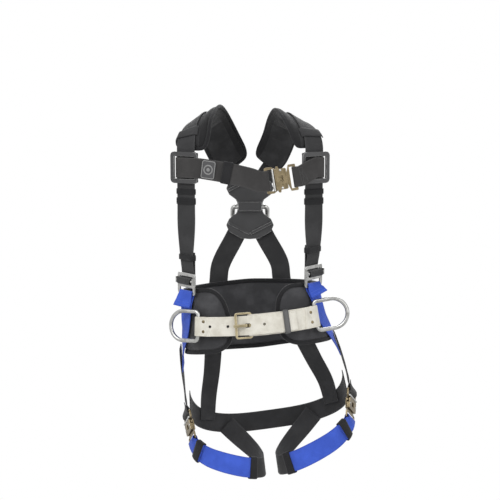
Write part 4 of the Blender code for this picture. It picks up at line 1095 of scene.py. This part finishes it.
# ------------------------------
# Waist pad. A broad foam wrap in the same knitted cover, bound at its edge, quilted along the line where the
# belt lies and open at the front.
PAD_LIFT, WAIST_PAD_THICK = 2 * MM, 11 * MM
PAD_START, PAD_END, PAD_COLUMNS, PAD_CORNER = 18, 342, 108, 18
BACK_START, BACK_TURN = 100, 80
TOP_RISES, BOTTOM_RISES = (0.014, 0.064, 0.012), (-0.020, -0.028, -0.012)
WAIST_RING = [
    (0, 0.5), (0.015, 0.72), (0.05, 0.9), (0.12, 0.98), (0.2, 1), (0.29, 1), (0.37, 0.96), (0.45, 1),
    (0.53, 1), (0.6, 0.96), (0.67, 1), (0.76, 1), (0.85, 1), (0.93, 0.92), (0.985, 0.72), (1, 0.5),
    (0.985, 0.28), (0.94, 0.06), (0.8, 0), (0.6, 0), (0.4, 0), (0.2, 0), (0.06, 0.06), (0.015, 0.28),
]
LOW_EDGE, FACE_POINT, QUILTED, HIGH_EDGE, WAIST_BINDING = 0, 5, (6, 9), 15, (8 * MM, 8.4 * MM)
REAR_Y, REAR_TOP_Z, UNDER_STRAP, WAIST_SWELL = 0.05, 0.14, 33 * MM, 3 * MM

# The second colour is painted shade in the dimples' recesses.
wrap_cloth = knitted("waist_pad_fabric", "pad_fabric", (0.078, 0.078, 0.083), (0.034, 0.034, 0.037),
                     (0.010, 0.010, 0.011), 1.0)
strap_points = [point for run in shoulder_runs.values() for point, _ in run]
rear_straps = [point for point in strap_points if point.y > REAR_Y and point.z < REAR_TOP_Z]
loops, charts, rims, held = [], [], [], []
size = len(WAIST_RING)
for k in range(PAD_COLUMNS + 1):
    angle = PAD_START + (PAD_END - PAD_START) * k / PAD_COLUMNS
    side = min(1.0, min(angle - PAD_START, PAD_END - angle) / PAD_CORNER)
    back = max(0.0, (min(angle, 360 - angle) - BACK_START) / BACK_TURN)
    corner = (1 - (1 - side) ** 2) ** 0.5
    top, bottom = (a + b * corner + c * back for a, b, c in (TOP_RISES, BOTTOM_RISES))
    thick = WAIST_PAD_THICK * (0.55 + 0.45 * min(1.0, side * 4))
    spots = [(bottom + (top - bottom) * share, PAD_LIFT + thick * lift) for share, lift in WAIST_RING]
    loop = [stance(on_form(angle, z, lift)[0]) for z, lift in spots]
    walk = (loop[FACE_POINT] - loops[-1][FACE_POINT]).length + charts[-1][0][1] if loops else 0.0
    loops.append(loop)
    charts.append([(z, walk) for z, _ in spots])
    rims.append([knot(*on_form(angle, z, PAD_LIFT + thick * 0.5)) for z in (bottom, top)])
    under = [i for i in range(1, HIGH_EDGE) if min((loop[i] - p).length for p in rear_straps) < UNDER_STRAP]
    last = k in (0, PAD_COLUMNS)
    held += [k * size + i for i in (range(size) if last else [LOW_EDGE, *QUILTED, HIGH_EDGE] + under)]
cover = piece("waist_cushion", skin(loops, charts), wrap_cloth, "waist_pad")
stuffed(cover, held, WAIST_SWELL)
bound("waist_binding", [r[1] for r in rims] + [r[0] for r in rims[::-1]], *WAIST_BINDING)
inside = range(2, PAD_COLUMNS - 1)
quilting = [[(loops[k][i] + rims[k][0][1] * (0.2 * MM), rims[k][0][1]) for k in inside] for i in QUILTED]
stitches("waist_quilting", quilting, pad_thread, pitch=5.0 * MM, length=3.8 * MM)

# ------------------------------
# Rear belt. A length of the black webbing over the back of the waist pad. Its ends dip to the pad and are
# sewn down there with a box and a cross.
STRAP_LIFT, REAR_BELT_LIFT = 17.6, 23.6
REAR_BELT_START, REAR_BELT_TURN, REAR_BELT_Z = 108, 144, 0.008
REAR_BELT_PARTS, DIPPING_PARTS, END_TACK = 24, 4, (4, 34)


def sewn_strap(name, tacks, knots, node):
    """A black strap with a sewn box at both ends."""
    rows = web(name, knots, black_web, node)
    first, last = END_TACK
    stitches(tacks, tack(rows, first, last) + tack(rows, -last, -first), black_thread)


rear = []
for i in range(REAR_BELT_PARTS + 1):
    share = min(1.0, min(i, REAR_BELT_PARTS - i) / DIPPING_PARTS)
    lift = STRAP_LIFT + (REAR_BELT_LIFT - STRAP_LIFT) * share
    rear.append((REAR_BELT_START + REAR_BELT_TURN * i / REAR_BELT_PARTS, REAR_BELT_Z, lift))
sewn_strap("rear_belt_webbing", "rear_belt_tacks", round_form(1, rear), "rear_belt")

# ------------------------------
# Waist belt. Smooth cream belting in two halves. The right half is punched and ends in a plain tip, the left
# half carries the buckle; each is turned round its hip D-ring and riveted.
BELT_WIDTH, PUNCHED_WIDTH, BELT_THICK, BELT_SEAM = 48 * MM, 43 * MM, 2.8 * MM, 3.5 * MM
BELT_QUARTER = [(1.0, 0.0), (0.995, 0.45), (0.98, 0.8), (0.955, 0.97), (0.9, 1.0), (0.5, 1.0), (0.0, 1.0)]
BELT_LIFT, BELT_SAG, BELT_LEVEL, BELT_RISE = 25.5 * MM, 9 * MM, 0.3, 3 * MM
BELT_STEP, BELT_PARTS, WALK_PARTS, HALVINGS = 4 * MM, 44, 12, 40
BUCKLE_X, BELT_TIP_X, CARRIER_START = -0.022, 0.092, 0.046
PUNCHED_LIFTS = [(-60, 1.8), (-30, 0.0), (-15, 0.0), (12, 10), (32, 8.6), (62, 5.8)]
CARRIER_LIFTS = [(40, 0.2), (60, 0.2), (110, 0.6), (140, 1.6)]
RING_X, RING_FOLD = {1: 0.138, -1: -0.124}, {1: -0.026, -1: 0.031}
RING_REST = {1: 46, -1: 5}
HOLES, HOLE_RADIUS, CUT_CREASE = (-76, -36, 44), 3.2, 50
SLOT_X, SLOT_SIZE = 8.25, (14.5, 9.2, 4)
PRONG_GAP = [(5, -6.2), (27, -6.2), (27, 6.2), (5, 6.2)]
TIP_SEAM_END, FOLD_SEAM_END = 3 * MM, 62 * MM


def belting(name, width):
    """Coated cream belting: a fine grain, clouded and a little soiled, with darker cut edges, partly their
    own colour and partly painted shade.
    """
    face, shade, cut = (0.75, 0.725, 0.65), (0.57, 0.54, 0.46), (0.38, 0.32, 0.235)
    made, start = begin(name)
    across = start.maths("ABSOLUTE", cloth_chart(start)[0])
    place = start.place()
    grain = start.node("TexVoronoi", {}, {"Vector": place, "Scale": 900.0})
    cloud = start.noise(place, 48.0, 5.0, 0.6)
    soil = start.noise(place, 150.0, 3.0).ramp(0.58, 0.78)
    colour = (cloud.ramp(0.35, 0.7) * 0.7).mix(face, shade)
    colour = (soil * 0.18).mix(colour, scaled(shade, 0.6))
    # The cut colour darkens the belt's edges: partly the cut edge's own colour, partly painted shade along
    # them.
    colour = (across.ramp(width * 0.492, width * 0.5) * 0.7).mix(colour, cut)
    close(start, colour, cloud * 0.16 + grain * 0.1 + 0.42, grain * 0.6 + cloud * 0.4, 0.12 * MM)
    return made, "cream_belting"


def angle_at(x):
    """The angle on the front of the form where the belt reaches x."""
    low, high = -89.0, 89.0
    for _ in range(HALVINGS):
        middle = (low + high) / 2
        low, high = (middle, high) if on_form(middle, 0, BELT_LIFT)[0].x < x else (low, middle)
    return middle


def belt_knot(angle, lift=BELT_LIFT):
    return knot(*on_form(angle, BELT_SAG * (sin(radians(angle)) ** 2 - BELT_LEVEL) + BELT_RISE, lift))


def belt_frame(angle, turn):
    """Axes on the belt at an angle, the first towards a further turn."""
    spot = belt_knot(angle)
    return frame_at(spot[0], belt_knot(angle + turn)[0] - spot[0], spot[1])


def belt_run(first, last, lifts):
    """Knots along the belt, lifted by a table of (distance from the buckle, lift), in millimetres."""
    first, last, middle = angle_at(first), angle_at(last), angle_at(BUCKLE_X)
    made = []
    for i in range(BELT_PARTS + 1):
        angle = first + (last - first) * i / BELT_PARTS
        steps = [belt_knot(middle + (angle - middle) * j / WALK_PARTS) for j in range(WALK_PARTS + 1)]
        along = reaches(steps)[-1] / MM * (1 if angle > middle else -1)
        lift = lifts[0][1]
        for (u0, l0), (u1, l1) in zip(lifts, lifts[1:]):
            if along > u0:
                t = min(1.0, (along - u0) / (u1 - u0))
                lift = l0 + (l1 - l0) * t * t * (3 - 2 * t)
        made.append(belt_knot(angle, BELT_LIFT + lift * MM))
    return made


def belt_spot(distance):
    """Axes on the belt at a distance in millimetres from the buckle."""
    angle = angle_at(BUCKLE_X)
    here = belt_knot(angle)
    walk = 0.0
    while walk < abs(distance) * MM:
        angle += copysign(0.1, distance)
        after = belt_knot(angle)
        walk += (after[0] - here[0]).length
        here = after
    return belt_frame(angle, 0.5)


def belt_length(name, knots, width, node):
    """Belting along its knots, with skived round edges. Gives the piece and its rows."""
    rows = axes(spline(knots, BELT_STEP))
    ring = mirrored(BELT_QUARTER, width, BELT_THICK)
    return piece(name, loft(rows, [ring] * len(rows)), belting(name + "_face", width), node), rows


def belt_edges(name, rows, width, first, last):
    """Cream sewing along both edges of a belt half, from one distance to another."""
    seam = width / 2 - BELT_SEAM
    edges = [on_web(rows, [(first, e), (last, e)], BELT_THICK / 2) for e in (-seam, seam)]
    stitches(name, edges, cream_thread, pitch=4.4 * MM, thick=0.35 * MM)


def punch(made, place, outline, low, high):
    """Cuts an outline of (x, y) millimetres through a piece, between two heights on the axes of a place."""
    bm = bmesh.new()
    base = [bm.verts.new(place @ Vector((x * MM, y * MM, low * MM))) for x, y in outline]
    raised = bmesh.ops.extrude_face_region(bm, geom=[bm.faces.new(base)])["geom"]
    lift = place.to_3x3() @ Vector((0, 0, (high - low) * MM))
    bmesh.ops.translate(bm, verts=[v for v in raised if isinstance(v, bmesh.types.BMVert)], vec=lift)
    bmesh.ops.recalc_face_normals(bm, faces=bm.faces)
    tool = meshed("punch", bm, made.data.materials[0])
    cut = made.modifiers.new("punch", "BOOLEAN")
    cut.solver = "EXACT"
    cut.object = tool
    result = bpy.data.meshes.new_from_object(made.evaluated_get(bpy.context.evaluated_depsgraph_get()))
    made.modifiers.clear()
    made.data = result
    result.set_sharp_from_angle(angle=radians(CUT_CREASE))
    mesh = tool.data
    bpy.data.objects.remove(tool)
    bpy.data.meshes.remove(mesh)


cream_thread = thread("cream_thread", "cream_belting", (0.62, 0.58, 0.47))
holders = {word: belt_frame(angle_at(RING_X[side]), side * 1.5) for side, word in SIDES}
buckle = belt_frame(angle_at(BUCKLE_X), 2)
fold = [(-30, 1.8, 0, 1), (-20, 3.2, -0.12, 1), (-10, 5.9, -0.2, 1), (-4, 6.4, 0, 1)]
fold += bend(0, 0, 6.4, 75, -75)
fold += [(-4, -6.2, 0, -1), (-11, -5.2, -0.2, -1), (-19, -2.4, -0.2, -1), (-27, -1.6, 0, -1)]

run = belt_run(RING_X[-1] + RING_FOLD[-1], BELT_TIP_X, PUNCHED_LIFTS)
knots = in_frame(holders["right"], fold)[::-1] + run
punched, rows = belt_length("punched_belt", knots, PUNCHED_WIDTH, "belt_tongue_half")
for distance in HOLES:
    punch(punched, belt_spot(distance), arc(0, 0, HOLE_RADIUS, 0, 360, 20)[:-1], -3, 16)
punch(punched, buckle, [(SLOT_X + x, y) for x, y in rounded_box(*SLOT_SIZE)], 0.5, 18)
front = [s for s, row in zip(reaches(rows), rows) if row[2].y < -0.2 or row[2].x < -0.6]
belt_edges("punched_belt_edges", rows, PUNCHED_WIDTH, front[6], reaches(rows)[-1] - TIP_SEAM_END)

inner = [(52, -5.7, -0.1, -1), (44, -4.8, -0.1, -1), (36, -4.1, 0, -1), (26, -4.1, 0, -1), (19, -5.4, 0, -1)]
inner += bend(15, 0, 5.6, 285, 75, 7) + [(22, 4.6, 0, 1), (28, 2.0, 0, 1), (36, 0.2, 0, 1)]
run = belt_run(BUCKLE_X + CARRIER_START, RING_X[1] + RING_FOLD[1], CARRIER_LIFTS)[::2]
knots = in_frame(buckle, inner)
first = reaches(knots)[-1]
knots += run + in_frame(holders["left"], fold)
carrier, rows = belt_length("buckle_belt", knots, BELT_WIDTH, "belt_buckle_half")
punch(carrier, buckle, PRONG_GAP, -9, 9)
belt_edges("buckle_belt_edges", rows, BELT_WIDTH, first, reaches(rows)[-1] - FOLD_SEAM_END)

# ------------------------------
# Hip D-rings. Bright forged steel, one in the turned end of each belt half, free to swing on its straight
# bar. Two domed rivets close each turned end.
HIP_RING, BELT_RIVET = (66, 72, 4.2), (3.4, 1.3)
RIVET_X, RIVET_Y, RIVET_FACE = -18, 11, 5.1
RIVET_LEAN = Matrix.Rotation(radians(-13), 4, "Y")
for side, word in SIDES:
    place = holders[word] @ Matrix.Rotation(radians(-RING_REST[side]), 4, "Y")
    forged_ring(word + "_hip_ring_forging", place, *HIP_RING, word + "_hip_d_ring")
    heads = [moved(holders[word], RIVET_X, y, RIVET_FACE) @ RIVET_LEAN for y in (-RIVET_Y, RIVET_Y)]
    domes(word + "_ring_rivets", heads, *BELT_RIVET, zinc)

# ------------------------------
# Belt buckle. A flat frame in pale brass plate with a bent prong that turns on its bar, and a grey moulded
# loop that holds the belt's tip.
KEEPER_X, KEEPER_LIFT, KEEPER_TURNS = 0.070, 2.9 * MM, (-2.2, -1.1, 0, 1.1, 2.2)
brass = plated("pale_brass", "yellow_zinc", (0.41, 0.35, 0.22), (0.26, 0.22, 0.135), 0.32,
               (0.07, 0.052, 0.025))
# The last colour is the pale of the broken edges: partly wear, partly a painted highlight.
grey_nylon = moulded("moulded_grey", "moulded_black", (0.080, 0.080, 0.080), (0.22, 0.22, 0.22))
softened("belt_buckle_ring", "belt_buckle_frame", brass, 1.1 * MM)
softened("belt_prong", "belt_tongue", brass, 0.8 * MM)
spots = [belt_knot(angle_at(KEEPER_X) + turn, BELT_LIFT + KEEPER_LIFT) for turn in KEEPER_TURNS]
elastic_loop("belt_tip_loop", axes(spots), BELT_WIDTH + 2 * MM, 11 * MM, grey_nylon, "belt_keeper", 1.8 * MM)

# ------------------------------
# Hip and leg straps. Blue webbing, its selvedges painted darker as shade, runs from the torso adjusters to
# the hips and round the fronts of the thighs; black webbing joins them at the sides and goes on behind to the
# seat.
THIGH_X, THIGH_Y, THIGH_RADIUS = 0.100, 0.012, 0.087
HIP_BAR, HIP_BAR_BEND, HIP_TAIL, HIP_FLARE = -21.6, 4.0, {1: 4, -1: 5}, radians(27)
LEG_BUCKLE_ANGLE, LEG_BUCKLE_Z, LEG_BUCKLE_DIP = 20, -0.215, radians(62)
HIP_ROUTE = (
    (63, 0.047, 20.2), (66, 0.022, 19), (70, -0.004, 18.2), (78, -0.033, 18.2), (85, -0.060, 18.2),
    (89, -0.088, 18),
)
THIGH_ROUTE = (
    (88.6, -0.163, 14.8), (90.3, -0.140, 16.2), (91.7, -0.112, 19.3), (91.4, -0.080, 22.2),
    (90, -0.042, 23.8),
)
LEG_ROUTE = (
    (47, -0.268, 3), (62, -0.281, 1), (78, -0.2915, 0), (97, -0.303, 0), (119, -0.315, 0), (142, -0.324, 0),
)
REAR_LEG_ROUTE = (
    (166, -0.329, -3), (190, -0.325, -1), (215, -0.312, 1), (238, -0.291, 6), (258, -0.264, 14),
    (272, -0.238, 22),
)
FOLD_STEP, THIGH_TACK, HIP_HEMS, HEM_HALF = 8 * MM, (-40, -5), (5 * MM, 12 * MM), 19 * MM
REAR_LEG_UNDER, SLEEVE_UNDER = FOLD_LAYER / 2 + 3.0 * MM, FOLD_LAYER / 2 + 1.5 * MM


def on_thigh(side, angle, z, lift):
    """A straight point round the thigh: 0 is its outer side, 90 its front and 180 its inner side."""
    c, s = cos(radians(angle)), sin(radians(angle))
    reach = THIGH_RADIUS + lift * MM
    return Vector((side * (THIGH_X + reach * c), THIGH_Y - reach * s, z)), Vector((side * c, -s, 0))


def round_thigh(side, rows):
    """Knots round a thigh from rows of (angle, height, lift in millimetres)."""
    return [knot(*on_thigh(side, *row)) for row in rows]


def flared(knots, count):
    """Turns the free end of a strap about its front edge, so that its rear edge stands away."""
    made = list(knots)
    for i, (point, across, facing) in enumerate(axes(knots)[:count]):
        front = across if across.y < 0 else -across
        angle = HIP_FLARE * (1 - i / count)
        shift = front * (1 - cos(angle)) + facing * sin(angle)
        made[i] = (point + shift * (WEB_WIDTH / 2), facing * cos(angle) + front * sin(angle))
    return made


# The second colour is painted shade in the weave's recesses; the darker edge colour is painted shade along
# the selvedges.
blue_web = woven("blue_webbing", "blue_webbing", (0.066, 0.140, 0.68), (0.030, 0.070, 0.42),
                 (0.028, 0.060, 0.37))
blue_thread = thread("blue_thread", "blue_webbing", (0.10, 0.19, 0.70))
for side, word in SIDES:
    path = in_frame(adjusters[word], [(HIP_BAR, 0, 0, 1), (-28, 0.3, 0, 1)]) + round_form(side, HIP_ROUTE)
    knots = folded(spline(path, FOLD_STEP), adjusters[word], HIP_BAR, HIP_BAR_BEND, -90, HIP_TAIL[side])
    rows = web(word + "_hip_webbing", flared(knots, HIP_TAIL[side]), blue_web, word + "_hip_strap")
    hem = [on_web(rows, [(s, -HEM_HALF), (s, HEM_HALF)]) for s in HIP_HEMS]
    stitches(word + "_hip_hem", hem, blue_thread)

    middle, facing = on_thigh(side, LEG_BUCKLE_ANGLE, LEG_BUCKLE_Z, 2)
    turn = radians(LEG_BUCKLE_ANGLE)
    around = Vector((-side * sin(turn), -cos(turn), 0))
    leg = stance_frame(middle, around * cos(LEG_BUCKLE_DIP) + Vector((0, 0, -sin(LEG_BUCKLE_DIP))), facing)
    quick_buckle(word + "_leg", leg)

    path = in_frame(leg, [(-WEB_BAR, 0, 0, 1), (-38, 0, 0, 1)]) + round_form(side, THIGH_ROUTE)
    knots = folded(spline(path, FOLD_STEP), leg, -WEB_BAR, WEB_BAR_BEND, -90, 4)
    upper = next(point for point, _ in spline(knots, WEB_STEP) if point.z > path[4][0].z)
    hold = ("harness", word + "_leg_housing", upper, path[1][0])
    rows = web(word + "_thigh_webbing", knots, black_web, word + "_thigh_strap", hold)
    inside = [(p, across, -f) for p, across, f in rows]
    stitches(word + "_thigh_tack", tack(inside, *THIGH_TACK), black_thread)

    path = in_frame(leg, [(WEB_BAR, 0, 0, 1), (39, 0, 0, 1)]) + round_thigh(side, LEG_ROUTE)
    path = spline(path, FOLD_STEP)
    knots = folded(path, leg, WEB_BAR, WEB_BAR_BEND, 270, 6)
    web(word + "_leg_webbing", knots, blue_web, word + "_leg_strap")
    spots = axes(spline(path[3:7], LOOP_STEP))
    elastic_loop(word + "_leg_outer_loop", spots, WEB_WIDTH + 3.2 * MM, 10 * MM, elastic,
                 word + "_leg_outer_sleeve")

    route = [(point - facing * REAR_LEG_UNDER, facing) for point, facing in path[-4:]]
    route += round_thigh(side, REAR_LEG_ROUTE)
    web(word + "_rear_leg_webbing", spline(route, ROUTE_STEP), black_web, word + "_rear_leg_strap")
    spots = [(p - f * SLEEVE_UNDER, a, f) for p, a, f in axes(spline(path[-4:], LOOP_STEP))]
    elastic_loop(word + "_leg_inner_loop", spots, WEB_WIDTH + 3 * MM, 6.6 * MM, elastic,
                 word + "_leg_inner_sleeve")

# ------------------------------
# Seat strap. Black webbing under the seat from hip to hip, to which the shoulder and leg straps are sewn. It
# hangs lowest in the middle and rises to a sewn box at both ends.
SEAT_Z, SEAT_RISE, SEAT_LIFT, SEAT_END_LIFT, SEAT_HALF = -0.242, 0.088, 12, 3.5, 18
seat = []
for i in range(2 * SEAT_HALF + 1):
    rise = abs(i - SEAT_HALF) / SEAT_HALF
    lift = SEAT_LIFT - (SEAT_LIFT - SEAT_END_LIFT) * max(0.0, rise - 0.7) / 0.3
    seat.append((90 + 90 * i / SEAT_HALF, SEAT_Z + SEAT_RISE * rise ** 2.4, lift))
sewn_strap("seat_webbing", "seat_tacks", round_form(1, seat), "sub_pelvic_strap")
